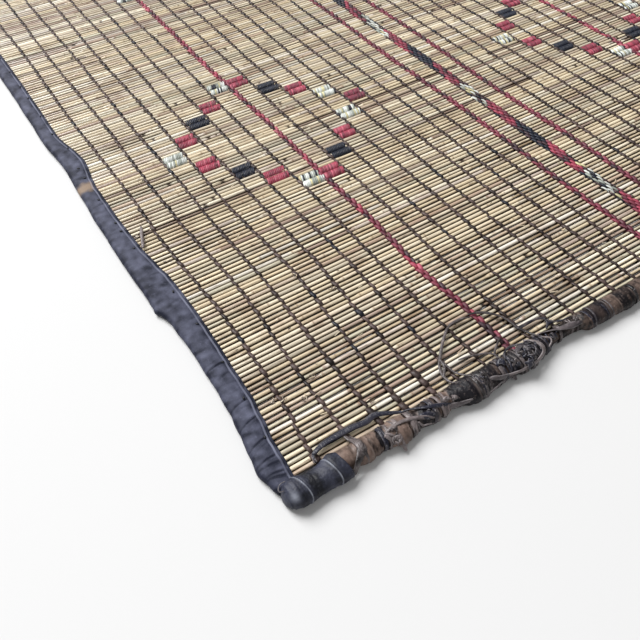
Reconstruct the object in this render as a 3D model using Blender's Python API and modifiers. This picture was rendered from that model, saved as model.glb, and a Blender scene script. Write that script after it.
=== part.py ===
"""A reed mat: dry reeds laid side by side, twined together with leather thongs.

The reeds run along X and the thongs along Y. The reed ends are folded into a leather
strip on the left and right, the front and back edges are rolled in leather, and each
corner has a leather sleeve. The mat lies on its underside, at Z = 0.
"""
import math
import random

import bmesh
import bpy
from mathutils import Vector

# Driving dimensions, in metres
REED_PITCH = 0.0040
REED_COUNT = 253
REED_TOP = 0.0046
GROOVE_DEPTH = 0.0014
WEFT_PITCH = 0.0208
WEFT_COUNT = 33
WEFT_THICKNESS = 0.0011
LEATHER = 0.0010
GAP = 0.0003

# One reed's top line: places across its pitch from 0 to 1, and how low its shoulders lie
REED_SHOULDERS = (0.23, 0.77)
REED_CREST = 0.50
SHOULDER_DROP = 0.0004

# Thong widths: plain, red pair, coloured band
PLAIN_WIDTH = 0.0034
RED_WIDTH = 0.0050
BAND_WIDTH = 0.0110

# Stations along a thong, and how strongly they crowd towards the front
WEFT_STEPS = 20
WEFT_CROWDING = 1.3

# Rolled edge and corner sleeve, as width and height
ROLL_SIZE = (0.0137, 0.0096)
CAP_SIZE = (0.0187, 0.0125)
CAP_SWELL = 1.03
CAP_SPAN = (-0.0150, 0.0280)
EDGE_GAP = 0.0005

# How far the strip's lower leaf reaches in under the reeds, and the step that it lies in
UNDER_REACH = 0.0022
STEP_SPARE = 0.0010
STEP_SLOPE = 0.0010

# The strip's raised inner edge: how high it is, and how far in it starts and peaks
LIP = 0.0006
LIP_START = 0.0020
LIP_PEAK = 0.0010

# Share of a roll's or sleeve's height that is cut off as the flat it rests on
OVAL_SINK = 0.06

# Sizes that follow from them
HALF_LENGTH = REED_COUNT * REED_PITCH / 2
EDGE_X = (WEFT_COUNT + 1) * WEFT_PITCH / 2
REED_END_X = EDGE_X + 0.0052
REED_WOBBLE = 0.0002
CREST_TOP = REED_TOP + REED_WOBBLE
BAND_INDEX = (WEFT_COUNT + 1) // 2
MOTIF_OFFSET = 9

# The strip's edges on the left side, from the front corner backwards:
# along is the way from the front edge, outer and inner are measured
# from the line where the first thong spacing starts.
BINDING_ROWS = (
    # along, outer, inner
    (0.000, -0.0164, -0.0016),
    (0.014, -0.0189, -0.0002),
    (0.026, -0.0168, 0.0006),
    (0.045, -0.0141, 0.0036),
    (0.063, -0.0117, 0.0062),
    (0.084, -0.0102, 0.0068),
    (0.115, -0.0094, 0.0084),
    (0.147, -0.0100, 0.0094),
    (0.166, -0.0144, 0.0092),
    (0.188, -0.0140, 0.0085),
    (0.205, -0.0147, 0.0062),
    (0.230, -0.0144, 0.0037),
    (0.270, -0.0136, 0.0026),
    (0.312, -0.0120, 0.0031),
    (0.355, -0.0100, 0.0080),
)
BINDING_TAIL_STEP = 0.048
BINDING_TAIL = (-0.0120, 0.0018)

# Past the table both edges waver a little; the inner one follows the outer
TAIL_DRIFT = 0.0012
TAIL_WAVES = 17.0
INNER_FOLLOWS = 0.8

# How far the thongs of the left front stray sideways, by the way from the front edge:
# the first five together, and the outermost one on its own towards the corner
SWAY_ROWS = (
    # along, shift
    (0.000, -0.0010),
    (0.043, -0.0008),
    (0.084, 0.0006),
    (0.126, 0.0023),
    (0.147, 0.0031),
    (0.168, 0.0021),
    (0.209, 0.0004),
    (0.230, -0.0004),
    (0.270, 0.0000),
)
CORNER_ROWS = (
    # along, shift
    (0.007, -0.0048),
    (0.022, -0.0044),
    (0.043, -0.0014),
    (0.084, 0.0000),
)
SWAY_FULL_X = 5 * WEFT_PITCH
SWAY_NONE_X = 7 * WEFT_PITCH

# The red thong on the left motif's axis strays on its own
AXIS_NUMBER = BAND_INDEX - MOTIF_OFFSET
AXIS_ROWS = (
    # along, shift
    (0.000, 0.0038),
    (0.040, 0.0022),
    (0.093, -0.0012),
    (0.165, 0.0026),
    (0.235, 0.0020),
    (0.300, 0.0008),
    (0.450, 0.0004),
    (0.600, 0.0000),
)

# Slow wavering of every thong: how far, waves along it, and shift from one to the next
DRIFT = 0.0008
DRIFT_WAVES = 26.0
DRIFT_SHIFT = 170.0

# The thongs beside the band stand further off: share of a pitch, and how many feel it
BAND_SPREAD = 0.22
SPREAD_REACH = 2.5

# Lumps of the frayed front roll, by the way from its left end
LUMP_ROWS = (
    # along, width factor, height factor
    (0.000, 0.92, 1.08),
    (0.012, 1.06, 1.02),
    (0.028, 0.98, 0.92),
    (0.040, 1.20, 1.04),
    (0.054, 1.00, 0.94),
    (0.068, 1.06, 1.06),
    (0.082, 0.90, 0.88),
    (0.097, 1.26, 1.10),
    (0.113, 1.14, 0.98),
    (0.128, 1.02, 1.06),
    (0.140, 1.28, 1.14),
    (0.156, 0.98, 0.96),
    (0.172, 0.70, 0.86),
    (0.188, 0.64, 0.84),
)
LUMP_STEP = 0.0165
ROLL_SIDES = 10

# Past the table the roll swells gently: two waves as share and count, and the height's part
SWELL_WAVES = ((0.07, 61.0), (0.05, 143.0))
HEIGHT_FOLLOWS = 0.6

# Corner sleeve sections: place along its span from 0 to 1, and size factor
CAP_ROWS = (
    # place, factor
    (0.00, 0.30),
    (0.03, 0.62),
    (0.11, 0.87),
    (0.26, 1.00),
    (0.42, 0.99),
    (0.44, CAP_SWELL),
    (0.50, 0.98),
    (0.76, 0.97),
    (0.79, 1.02),
    (0.93, 0.98),
    (1.00, 0.84),
)
CAP_SIDES = 14

# Loose thong ends: width, height above the ground, and points as ways
# to the right of the left edge line and back from the front reed
LOOSE_THONGS = (
    # width, height, points
    (0.0040, 0.0066, ((0.014, 0.0035), (0.020, 0.0078), (0.042, 0.0086), (0.061, 0.0080), (0.073, 0.0035))),
    (0.0024, 0.0066, ((0.115, 0.0010), (0.116, 0.0095), (0.124, 0.0205), (0.146, 0.0385), (0.163, 0.0385))),
    (0.0022, 0.0066, ((0.172, 0.0365), (0.183, 0.0285), (0.186, 0.0160), (0.187, 0.0050))),
    (0.0022, 0.0112, ((0.058, -0.0075), (0.068, -0.0052), (0.080, -0.0070), (0.088, -0.0105))),
    (0.0030, 0.0116, ((0.105, -0.0040), (0.113, -0.0085), (0.121, -0.0110), (0.130, -0.0120))),
    (0.0030, 0.0122, ((0.141, -0.0085), (0.152, -0.0120), (0.163, -0.0125), (0.174, -0.0090))),
)
LOOSE_STEPS = 3

# Leather and reed colours, as red, green, blue
REED_COLOUR = (0.62, 0.50, 0.31)
BROWN_LEATHER = (0.075, 0.048, 0.038)
RED_LEATHER = (0.38, 0.035, 0.07)
INDIGO_LEATHER = (0.075, 0.085, 0.13)
BLACK_LEATHER = (0.022, 0.024, 0.034)


def clear_scene():
    """Empty the file, so that only the mat is in it."""
    for item in list(bpy.data.objects):
        bpy.data.objects.remove(item, do_unlink=True)


def make_collection():
    """The mat's own collection."""
    collection = bpy.data.collections.new("reed_mat")
    bpy.context.scene.collection.children.link(collection)
    return collection


def make_material(name, colour, roughness):
    """A Principled finish, dry and not metallic."""
    material = bpy.data.materials.new(name)
    material.use_nodes = True
    shader = material.node_tree.nodes["Principled BSDF"]
    shader.inputs["Base Color"].default_value = (*colour, 1.0)
    shader.inputs["Roughness"].default_value = roughness
    shader.inputs["Metallic"].default_value = 0.0
    return material


def add_object(name, bm, material, collection):
    """Turn a closed bmesh into a named object with its faces pointing out."""
    bmesh.ops.recalc_face_normals(bm, faces=bm.faces)
    mesh = bpy.data.meshes.new(name)
    bm.to_mesh(mesh)
    bm.free()
    mesh.materials.append(material)
    item = bpy.data.objects.new(name, mesh)
    collection.objects.link(item)
    return item


def read_table(rows, place, column=1):
    """A smooth value between the rows of a table, held level past its ends."""
    if place <= rows[0][0]:
        return rows[0][column]
    for near, far in zip(rows, rows[1:]):
        if place <= far[0]:
            part = (place - near[0]) / (far[0] - near[0])
            eased = part * part * (3 - 2 * part)
            return near[column] + (far[column] - near[column]) * eased
    return rows[-1][column]


def loft(rings):
    """Skin a row of closed sections and close both ends."""
    bm = bmesh.new()
    loops = [[bm.verts.new(point) for point in ring] for ring in rings]
    for near, far in zip(loops, loops[1:]):
        for index, vert in enumerate(near):
            after = (index + 1) % len(near)
            bm.faces.new((vert, near[after], far[after], far[index]))
    bm.faces.new(loops[0])
    bm.faces.new(loops[-1])
    return bm


def reed_profile():
    """Top line of the reeds from front to back: a groove, then three points a reed."""
    source = random.Random(7)
    points = []
    for index in range(REED_COUNT):
        groove_y = index * REED_PITCH - HALF_LENGTH
        crest = REED_TOP + source.uniform(-REED_WOBBLE, REED_WOBBLE)
        shoulder = crest - SHOULDER_DROP
        points.append((groove_y, REED_TOP - GROOVE_DEPTH))
        points.append((groove_y + REED_SHOULDERS[0] * REED_PITCH, shoulder))
        points.append((groove_y + REED_CREST * REED_PITCH, crest))
        points.append((groove_y + REED_SHOULDERS[1] * REED_PITCH, shoulder))
    points.append((HALF_LENGTH, REED_TOP - GROOVE_DEPTH))
    return points


def build_reed_panel(material, collection):
    """The reeds as one ribbed sheet, hollowed below where the strips fold under it."""
    under = LEATHER + GAP
    step_x = EDGE_X - UNDER_REACH - STEP_SPARE
    # Underside from left to right: way across, and height
    floor_line = (
        (-REED_END_X, under),
        (-step_x, under),
        (-step_x + STEP_SLOPE, 0.0),
        (step_x - STEP_SLOPE, 0.0),
        (step_x, under),
        (REED_END_X, under),
    )
    profile = reed_profile()
    bm = bmesh.new()
    bmesh.ops.create_grid(bm, x_segments=1, y_segments=len(profile) - 1, size=1.0)
    for vert in bm.verts:
        row = round((vert.co.y + 1) / 2 * (len(profile) - 1))
        vert.co = Vector((math.copysign(REED_END_X, vert.co.x), *profile[row]))
    tops = sorted(bm.verts, key=lambda vert: (vert.co.x, vert.co.y))
    left, right = tops[:len(profile)], tops[len(profile):]
    front = [bm.verts.new((x, -HALF_LENGTH, z)) for x, z in floor_line]
    back = [bm.verts.new((x, HALF_LENGTH, z)) for x, z in floor_line]
    for index in range(len(floor_line) - 1):
        bm.faces.new((front[index], front[index + 1], back[index + 1], back[index]))
    bm.faces.new([*front, right[0], left[0]])
    bm.faces.new([*back, right[-1], left[-1]])
    bm.faces.new([front[0], *left, back[0]])
    bm.faces.new([front[-1], *right, back[-1]])
    return add_object("reed_panel", bm, material, collection)


def weft_offset(index):
    """A thong's place across the mat; the three in the middle stand a little apart."""
    steps = index - BAND_INDEX
    if steps == 0:
        return 0.0
    spread = BAND_SPREAD * math.exp(-(abs(steps) - 1) / SPREAD_REACH)
    return math.copysign((abs(steps) + spread) * WEFT_PITCH, steps)


def weft_sway(across, along):
    """How far a thong strays sideways: pulled out of line at the left front, wavering elsewhere."""
    way_in = across + EDGE_X
    fade = min(1.0, max(0.0, (SWAY_NONE_X - way_in) / (SWAY_NONE_X - SWAY_FULL_X)))
    corner = max(0.0, 2.0 - way_in / WEFT_PITCH)
    pull = fade * read_table(SWAY_ROWS, along) + min(1.0, corner) * read_table(CORNER_ROWS, along)
    return pull + DRIFT * math.sin(along * DRIFT_WAVES + across * DRIFT_SHIFT)


def weft_x(index, along):
    """A thong's true place across the mat, by its number and the way from the front."""
    across = weft_offset(index)
    own = read_table(AXIS_ROWS, along) if index == AXIS_NUMBER else 0.0
    return across + own + weft_sway(across, along)


def weft_kind(index):
    """Red beside the band and on the motif's axis, the band in the middle, plain elsewhere."""
    steps = abs(index - BAND_INDEX)
    if steps == 0:
        return "band"
    if steps in (1, MOTIF_OFFSET):
        return "red"
    return "plain"


def build_weft(index, materials, collection):
    """One thong across all the reeds, as a flat strip thickened upwards."""
    kind = weft_kind(index)
    width = {"plain": PLAIN_WIDTH, "red": RED_WIDTH, "band": BAND_WIDTH}[kind]
    bm = bmesh.new()
    bmesh.ops.create_grid(bm, x_segments=1, y_segments=WEFT_STEPS, size=1.0)
    for vert in bm.verts:
        # The stations crowd towards the front, where the thongs are pulled out of line
        place = ((vert.co.y + 1) / 2) ** WEFT_CROWDING
        along = place * 2 * (HALF_LENGTH - GAP)
        x = weft_x(index, along) + vert.co.x * width / 2
        vert.co = Vector((x, along - HALF_LENGTH + GAP, CREST_TOP + GAP))
    item = add_object(f"weft_{index:02d}", bm, materials[kind], collection)
    if item.data.polygons[0].normal.z < 0:
        item.data.flip_normals()
    solid = item.modifiers.new("thickness", "SOLIDIFY")
    solid.thickness = WEFT_THICKNESS
    solid.offset = 1.0
    return item


def strip_section(outer, inner):
    """Section of the folded strip: under the reeds, round their ends and back over them."""
    height = CREST_TOP + GAP + LEATHER
    radius = height / 2
    turns = [math.radians(angle) for angle in (-90, -45, 0, 45, 90)]
    skin = [(outer + radius * (1 - math.cos(a)), radius + radius * math.sin(a)) for a in turns]
    core = radius - LEATHER
    lining = [(outer + radius - core * math.cos(a), radius + core * math.sin(a)) for a in reversed(turns)]
    edge = [
        (inner - LIP_START, height),
        (inner - LIP_PEAK, height + LIP),
        (inner, height + LIP / 2),
        (inner, height - LEATHER),
    ]
    return [(UNDER_REACH, 0.0), *skin, *edge, *lining, (UNDER_REACH, LEATHER)]


def binding_rows(side):
    """Stations of a strip: the left one wavers at the front, the right one is nearly straight."""
    length = 2 * HALF_LENGTH
    rows = list(BINDING_ROWS) if side < 0 else [(0.0, *BINDING_TAIL)]
    along = rows[-1][0] + BINDING_TAIL_STEP
    while along < length - BINDING_TAIL_STEP / 2:
        drift = TAIL_DRIFT * math.sin(along * TAIL_WAVES + side)
        rows.append((along, BINDING_TAIL[0] + drift, BINDING_TAIL[1] + drift * INNER_FOLLOWS))
        along += BINDING_TAIL_STEP
    rows.append((length, *BINDING_TAIL))
    return rows


def build_binding(name, side, material, collection):
    """The leather strip along one side, with the reed ends inside its fold."""
    rings = []
    for along, outer, inner in binding_rows(side):
        section = strip_section(outer, inner)
        rings.append([(side * (EDGE_X - across), along - HALF_LENGTH, z) for across, z in section])
    return add_object(name, loft(rings), material, collection)


def oval(centre_y, width, height, sides):
    """An oval section that stands on the ground with a small flat."""
    sink = OVAL_SINK * height
    points = []
    for index in range(sides):
        angle = 2 * math.pi * (index + 0.5) / sides
        y = centre_y + width / 2 * math.cos(angle)
        z = (height + sink) / 2 * (1 + math.sin(angle)) - sink
        points.append((y, max(0.0, z)))
    return points


def roll_rows(side, length):
    """Stations of a rolled edge: lumpy by the table in front, gently uneven at the back."""
    rows = list(LUMP_ROWS) if side < 0 else [(0.0, 1.0, 1.0)]
    along = rows[-1][0] + LUMP_STEP
    (slow, slow_waves), (quick, quick_waves) = SWELL_WAVES
    while along < length - LUMP_STEP / 2:
        swell = 1 + slow * math.sin(along * slow_waves) + quick * math.sin(along * quick_waves + side)
        rows.append((along, swell, 1 + (swell - 1) * HEIGHT_FOLLOWS))
        along += LUMP_STEP
    rows.append((length, 1.0, 1.0))
    return rows


def build_roll(name, side, material, collection):
    """The rolled edge in front (side -1) or at the back (side 1), between the corner sleeves."""
    start = -EDGE_X + CAP_SPAN[1] + GAP
    rings = []
    for along, wide, high in roll_rows(side, -2 * start):
        width = ROLL_SIZE[0] * wide
        centre = side * (HALF_LENGTH + EDGE_GAP + width / 2)
        section = oval(centre, width, ROLL_SIZE[1] * high, ROLL_SIDES)
        rings.append([(start + along, y, z) for y, z in section])
    return add_object(name, loft(rings), material, collection)


def build_cap(name, side_x, side_y, material, collection):
    """A corner sleeve: a tube along the roll with a blunt closed end and two seam ridges."""
    first, last = CAP_SPAN
    near = HALF_LENGTH + EDGE_GAP + CAP_SIZE[0] * CAP_SWELL / 2
    rings = []
    for place, factor in CAP_ROWS:
        x = side_x * (EDGE_X - first - place * (last - first))
        section = oval(side_y * near, CAP_SIZE[0] * factor, CAP_SIZE[1] * factor, CAP_SIDES)
        rings.append([(x, y, z) for y, z in section])
    return add_object(name, loft(rings), material, collection)


def smooth_path(points, steps):
    """Points along a smooth curve through the given ones."""
    ends = [points[0] * 2 - points[1], *points, points[-1] * 2 - points[-2]]
    path = []
    for before, start, stop, after in zip(ends, ends[1:], ends[2:], ends[3:]):
        for index in range(steps):
            t = index / steps
            pull = (stop - before) * t + (2 * before - 5 * start + 4 * stop - after) * t ** 2
            path.append(start + (pull + (3 * start - before - 3 * stop + after) * t ** 3) / 2)
    path.append(points[-1])
    return path


def build_loose_thong(number, width, height, points, material, collection):
    """A loose thong end: a flat strip lying along its route."""
    route = [Vector((x - EDGE_X, y - HALF_LENGTH, height)) for x, y in points]
    path = smooth_path(route, LOOSE_STEPS)
    rings = []
    for index, point in enumerate(path):
        run = path[min(index + 1, len(path) - 1)] - path[max(index - 1, 0)]
        side = Vector((-run.y, run.x, 0.0)).normalized() * width / 2
        lift = Vector((0.0, 0.0, WEFT_THICKNESS))
        rings.append([point - side, point + side, point + side + lift, point - side + lift])
    return add_object(f"loose_thong_{number}", loft(rings), material, collection)


def build_mat():
    """Every piece of the mat, each as its own object."""
    clear_scene()
    collection = make_collection()
    reed = make_material("dry_reed", REED_COLOUR, 0.55)
    brown = make_material("brown_leather", BROWN_LEATHER, 0.6)
    red = make_material("red_leather", RED_LEATHER, 0.6)
    indigo = make_material("indigo_leather", INDIGO_LEATHER, 0.55)
    black = make_material("black_leather", BLACK_LEATHER, 0.4)
    build_reed_panel(reed, collection)
    thongs = {"plain": brown, "red": red, "band": red}
    for index in range(1, WEFT_COUNT + 1):
        build_weft(index, thongs, collection)
    build_binding("binding_left", -1, indigo, collection)
    build_binding("binding_right", 1, indigo, collection)
    build_roll("roll_front", -1, brown, collection)
    build_roll("roll_back", 1, brown, collection)
    for end, side_y in (("front", -1), ("back", 1)):
        for hand, side_x in (("left", -1), ("right", 1)):
            build_cap(f"cap_{end}_{hand}", side_x, side_y, black, collection)
    for number, (width, height, points) in enumerate(LOOSE_THONGS, start=1):
        leather = black if number == 1 else brown
        build_loose_thong(number, width, height, points, leather, collection)


build_mat()
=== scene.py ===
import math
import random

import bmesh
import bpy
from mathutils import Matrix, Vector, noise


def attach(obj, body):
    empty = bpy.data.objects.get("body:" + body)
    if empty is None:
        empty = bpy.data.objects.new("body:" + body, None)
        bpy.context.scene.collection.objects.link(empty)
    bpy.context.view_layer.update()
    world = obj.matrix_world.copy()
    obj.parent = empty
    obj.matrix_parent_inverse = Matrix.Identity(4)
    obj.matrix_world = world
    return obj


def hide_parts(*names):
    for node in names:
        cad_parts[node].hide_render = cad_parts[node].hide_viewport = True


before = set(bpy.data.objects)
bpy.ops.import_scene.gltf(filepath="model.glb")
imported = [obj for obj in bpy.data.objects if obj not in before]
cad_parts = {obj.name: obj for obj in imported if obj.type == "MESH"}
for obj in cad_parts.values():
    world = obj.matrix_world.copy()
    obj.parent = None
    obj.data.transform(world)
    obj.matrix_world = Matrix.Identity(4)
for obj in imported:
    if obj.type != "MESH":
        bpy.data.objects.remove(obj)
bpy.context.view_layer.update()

# %% [markdown]
# # A reed mat twined with leather
# The real thing is a tent mat. About 250 dry grass stems lie side by side, and leather thongs
# run across them, each made of two strands that take turns over and under a pair of stems.
# The stems' ends are folded into a strip of indigo leather, the last stems in front and at the
# back are wound in brown leather, and a black sleeve covers each corner.
# The lesson follows the order of the maker: the stems, the thongs, the coloured blocks, and
# then the edges. The imported model gives every size, so it is read in first.

# %% [markdown]
# ## The mat's own numbers
# A few numbers rule the whole mat: how far apart the stems lie, and how far apart the thongs.
# They are the same as in the solid model, so each piece lands where its solid is.

# %% Sizes, in metres
REED_PITCH = 0.0040
REED_COUNT = 253
WEFT_PITCH = 0.0208
WEFT_COUNT = 33
BAND_INDEX = 17
MOTIF_OFFSET = 9
HALF_LENGTH = REED_COUNT * REED_PITCH / 2
EDGE_X = (WEFT_COUNT + 1) * WEFT_PITCH / 2
REED_END_X = EDGE_X + 0.0052
REED_RADIUS = 0.00178
REED_AXIS_Z = 0.00280
FLOAT_LENGTH = 2 * REED_PITCH
print("stems:", REED_COUNT, "thongs:", WEFT_COUNT, "half length:", round(HALF_LENGTH, 4))

# %% [markdown]
# ## Where the thongs run
# The thongs are nearly straight, but the five at the left front were pulled out of line by
# the edge strip. The solid model keeps that in two small tables of sideways shifts, and the
# same tables are repeated here. Between two rows the value eases from one to the next.

# %% The thongs' lines
SWAY_ROWS = (
    (0.000, -0.0010), (0.043, -0.0008), (0.084, 0.0006), (0.126, 0.0023), (0.147, 0.0031),
    (0.168, 0.0021), (0.209, 0.0004), (0.230, -0.0004), (0.270, 0.0000),
)
CORNER_ROWS = ((0.007, -0.0048), (0.022, -0.0044), (0.043, -0.0014), (0.084, 0.0000))
SWAY_FULL_X = 5 * WEFT_PITCH
SWAY_NONE_X = 7 * WEFT_PITCH
AXIS_ROWS = (
    (0.000, 0.0038), (0.040, 0.0022), (0.093, -0.0012), (0.165, 0.0026), (0.235, 0.0020), (0.300, 0.0008), (0.450, 0.0004),
    (0.600, 0.0000),
)
AXIS_NUMBER = BAND_INDEX - MOTIF_OFFSET
DRIFT = 0.0008
NEIGHBOUR_SPREAD = 0.22


def read_table(rows, place, column=1):
    """A smooth value between the rows of a table, held level past its ends."""
    if place <= rows[0][0]:
        return rows[0][column]
    for near, far in zip(rows, rows[1:]):
        if place <= far[0]:
            part = (place - near[0]) / (far[0] - near[0])
            eased = part * part * (3 - 2 * part)
            return near[column] + (far[column] - near[column]) * eased
    return rows[-1][column]


def rough(x, y, z, scale):
    """Smooth noise from -1 to 1, always the same at the same place."""
    return noise.noise(Vector((x, y, z)) * scale)


def weft_offset(index):
    """A thong's place across the mat; the three in the middle stand a little apart."""
    steps = index - BAND_INDEX
    if steps == 0:
        return 0.0
    spread = NEIGHBOUR_SPREAD * math.exp(-(abs(steps) - 1) / 2.5)
    return math.copysign((abs(steps) + spread) * WEFT_PITCH, steps)


def weft_sway(across, along):
    """How far a thong strays sideways at a place."""
    way_in = across + EDGE_X
    fade = min(1.0, max(0.0, (SWAY_NONE_X - way_in) / (SWAY_NONE_X - SWAY_FULL_X)))
    corner = min(1.0, max(0.0, 2.0 - way_in / WEFT_PITCH))
    pull = fade * read_table(SWAY_ROWS, along) + corner * read_table(CORNER_ROWS, along)
    return pull + DRIFT * math.sin(along * 26.0 + across * 170.0)


def weft_x(index, along):
    """A thong's true place across the mat, by its number and the way from the front."""
    across = weft_offset(index)
    own = read_table(AXIS_ROWS, along) if index == AXIS_NUMBER else 0.0
    return across + own + weft_sway(across, along)


print("first thong at the front:", round(weft_x(1, 0.0), 4), "and half way:", round(weft_x(1, 0.5), 4))

# %% [markdown]
# ## Floor, light and camera
# The mat lies on a plain pale floor under a large soft light from behind, so each stem is
# bright on its back and falls into shade towards the viewer. A weak second light and a pale
# sky fill the shade. The camera looks down over the front left corner.

# %% Floor and light
def plain_material(name, colour, roughness):
    """One even finish, for what isn't part of the mat."""
    material = bpy.data.materials.new(name)
    material.use_nodes = True
    shader = material.node_tree.nodes["Principled BSDF"]
    shader.inputs["Base Color"].default_value = (*colour, 1.0)
    shader.inputs["Roughness"].default_value = roughness
    return material


FLOOR_HALF = 6.0
floor_mesh = bpy.data.meshes.new("floor")
corners = [(-FLOOR_HALF, -FLOOR_HALF), (FLOOR_HALF, -FLOOR_HALF), (FLOOR_HALF, FLOOR_HALF), (-FLOOR_HALF, FLOOR_HALF)]
floor_mesh.from_pydata([(x, y, -0.0001) for x, y in corners], [], [(0, 1, 2, 3)])
floor = bpy.data.objects.new("floor", floor_mesh)
bpy.context.scene.collection.objects.link(floor)
floor_mesh.materials.append(plain_material("pale_floor", (0.68, 0.68, 0.68), 0.95))


def soft_light(name, place, target, size, power):
    """A square studio light that faces a target."""
    data = bpy.data.lights.new(name, "AREA")
    data.size = size
    data.energy = power
    lamp = bpy.data.objects.new(name, data)
    lamp.location = place
    aim = Vector(target) - Vector(place)
    lamp.rotation_euler = aim.to_track_quat("-Z", "Y").to_euler()
    bpy.context.scene.collection.objects.link(lamp)
    return lamp


soft_light("key_light", (-1.2, 3.0, 3.9), (-0.1, -0.2, 0.0), 3.4, 450)
soft_light("fill_light", (-0.9, -1.9, 1.8), (-0.2, -0.3, 0.0), 1.6, 7)
bpy.context.scene.view_settings.view_transform = "Standard"
world = bpy.data.worlds.new("pale_sky")
bpy.context.scene.world = world
world.use_nodes = True
world.node_tree.nodes["Background"].inputs["Color"].default_value = (1.0, 1.0, 1.0, 1.0)
world.node_tree.nodes["Background"].inputs["Strength"].default_value = 0.25

# %% Camera
camera_data = bpy.data.cameras.new("camera")
camera_data.lens = 41.25
camera_data.sensor_width = 36.0
camera_data.clip_start = 0.01
camera = bpy.data.objects.new("camera", camera_data)
camera.location = (-0.4583, -0.6915, 0.3866)
camera.rotation_euler = [math.radians(angle) for angle in (41.06, 0.09, -33.24)]
bpy.context.scene.collection.objects.link(camera)
bpy.context.scene.camera = camera
print("camera height:", camera.location.z)

# %% [markdown]
# ## A short way to write node trees
# Finishes and repeated shapes are both node trees. Writing each node and each link out in full
# would hide the idea, so a small helper adds a node, fills its sockets in order with numbers or
# with other nodes' outputs, and gives back its output.

# %% The helper for node trees
class Graph:
    """Short calls that add nodes to a tree; each gives back an output."""

    def __init__(self, tree):
        self.tree = tree

    def node(self, kind, *values, **settings):
        """Add a node and fill its live inputs in order; None leaves one as it is."""
        node = self.tree.nodes.new(kind)
        for name, value in settings.items():
            setattr(node, name, value)
        live = [socket for socket in node.inputs if socket.enabled]
        for socket, value in zip(live, values):
            self.plug(socket, value)
        return node

    def add(self, kind, *values, out=0, **settings):
        """Add a node and give back one of its live outputs."""
        node = self.node(kind, *values, **settings)
        return [socket for socket in node.outputs if socket.enabled][out]

    def plug(self, socket, value):
        """Link an output into a socket, or set the socket's own value."""
        if isinstance(value, bpy.types.NodeSocket):
            self.tree.links.new(value, socket)
        elif value is not None:
            socket.default_value = value

    def math(self, operation, *values):
        return self.add("ShaderNodeMath", *values, operation=operation)

    def mix(self, factor, low, high):
        return self.add("ShaderNodeMix", factor, low, high, data_type="FLOAT")

    def tint(self, factor, low, high, blend="MIX"):
        return self.add("ShaderNodeMix", factor, low, high, data_type="RGBA", blend_type=blend)

    def scale_to(self, value, low, high, new_low=0.0, new_high=1.0):
        return self.add("ShaderNodeMapRange", value, low, high, new_low, new_high)

    def vector(self, x, y, z):
        return self.add("ShaderNodeCombineXYZ", x, y, z)

    def split(self, vector):
        return self.node("ShaderNodeSeparateXYZ", vector).outputs

    def noise(self, vector, scale, detail=2.0, roughness=0.5):
        return self.add("ShaderNodeTexNoise", vector, scale, detail, roughness)

    def ramp(self, value, stops, interpolation="LINEAR"):
        """A colour ramp from a list of (place, colour)."""
        node = self.node("ShaderNodeValToRGB", value)
        node.color_ramp.interpolation = interpolation
        points = node.color_ramp.elements
        while len(points) < len(stops):
            points.new(1.0)
        for point, (place, colour) in zip(points, stops):
            point.position = place
            point.color = (*colour, 1.0)
        return node.outputs["Color"]

    def attribute(self, name):
        """A piece's own number, read in a finish."""
        return self.node("ShaderNodeAttribute", attribute_name=name).outputs["Fac"]


def shader_group(name, inputs, outputs):
    """An empty group of shader nodes with named sockets."""
    tree = bpy.data.node_groups.new(name, "ShaderNodeTree")
    for label, kind, value in inputs:
        socket = tree.interface.new_socket(label, in_out="INPUT", socket_type=kind)
        if value is not None:
            socket.default_value = value
    for label in outputs:
        tree.interface.new_socket(label, in_out="OUTPUT", socket_type="NodeSocketFloat")
    entry = tree.nodes.new("NodeGroupInput").outputs
    leave = tree.nodes.new("NodeGroupOutput").inputs
    return Graph(tree), {socket.name: socket for socket in entry}, {socket.name: socket for socket in leave}


print("the helper can write", len([name for name in dir(Graph) if name[0] != "_"]), "kinds of step")

# %% [markdown]
# ## Two effects that many finishes share
# Fibres: dry stems and worn leather both show fine lines that run one way. A noise that is
# squeezed hard across the run and stretched along it gives them.
# Hide: leather has a pebbled grain, slow blotches of dye, and scuffs where it has been rubbed.

# %% Fibres and hide
graph, entry, leave = shader_group(
    "fibre_lines",
    [("Vector", "NodeSocketVector", None), ("Along", "NodeSocketFloat", 20.0), ("Across", "NodeSocketFloat", 1200.0)],
    ["Lines", "Flecks"],
)
stretched = graph.add(
    "ShaderNodeVectorMath", entry["Vector"],
    graph.vector(entry["Along"], entry["Across"], entry["Across"]), operation="MULTIPLY",
)
graph.plug(leave["Lines"], graph.noise(stretched, 1.0, 3.0, 0.6))
short = graph.add("ShaderNodeVectorMath", stretched, (4.0, 0.35, 0.35), operation="MULTIPLY")
graph.plug(leave["Flecks"], graph.scale_to(graph.noise(short, 1.0, 2.0, 0.55), 0.62, 0.72))
FIBRE_LINES = graph.tree

graph, entry, leave = shader_group(
    "hide_grain",
    [("Vector", "NodeSocketVector", None), ("Grain", "NodeSocketFloat", 900.0), ("Blotch", "NodeSocketFloat", 45.0)],
    ["Height", "Blotches", "Scuffs"],
)
pebbles = graph.add("ShaderNodeTexVoronoi", entry["Vector"], entry["Grain"])
soft = graph.noise(entry["Vector"], graph.math("MULTIPLY", entry["Grain"], 0.4), 4.0, 0.6)
graph.plug(leave["Height"], graph.math("ADD", graph.math("MULTIPLY", pebbles, 0.5), soft))
graph.plug(leave["Blotches"], graph.scale_to(graph.noise(entry["Vector"], entry["Blotch"], 4.0, 0.6), 0.3, 0.7))
rubbed = graph.noise(entry["Vector"], graph.math("MULTIPLY", entry["Blotch"], 4.0), 6.0, 0.68)
graph.plug(leave["Scuffs"], graph.scale_to(rubbed, 0.56, 0.72))
HIDE_GRAIN = graph.tree
print("shared effects:", FIBRE_LINES.name, HIDE_GRAIN.name)
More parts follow.
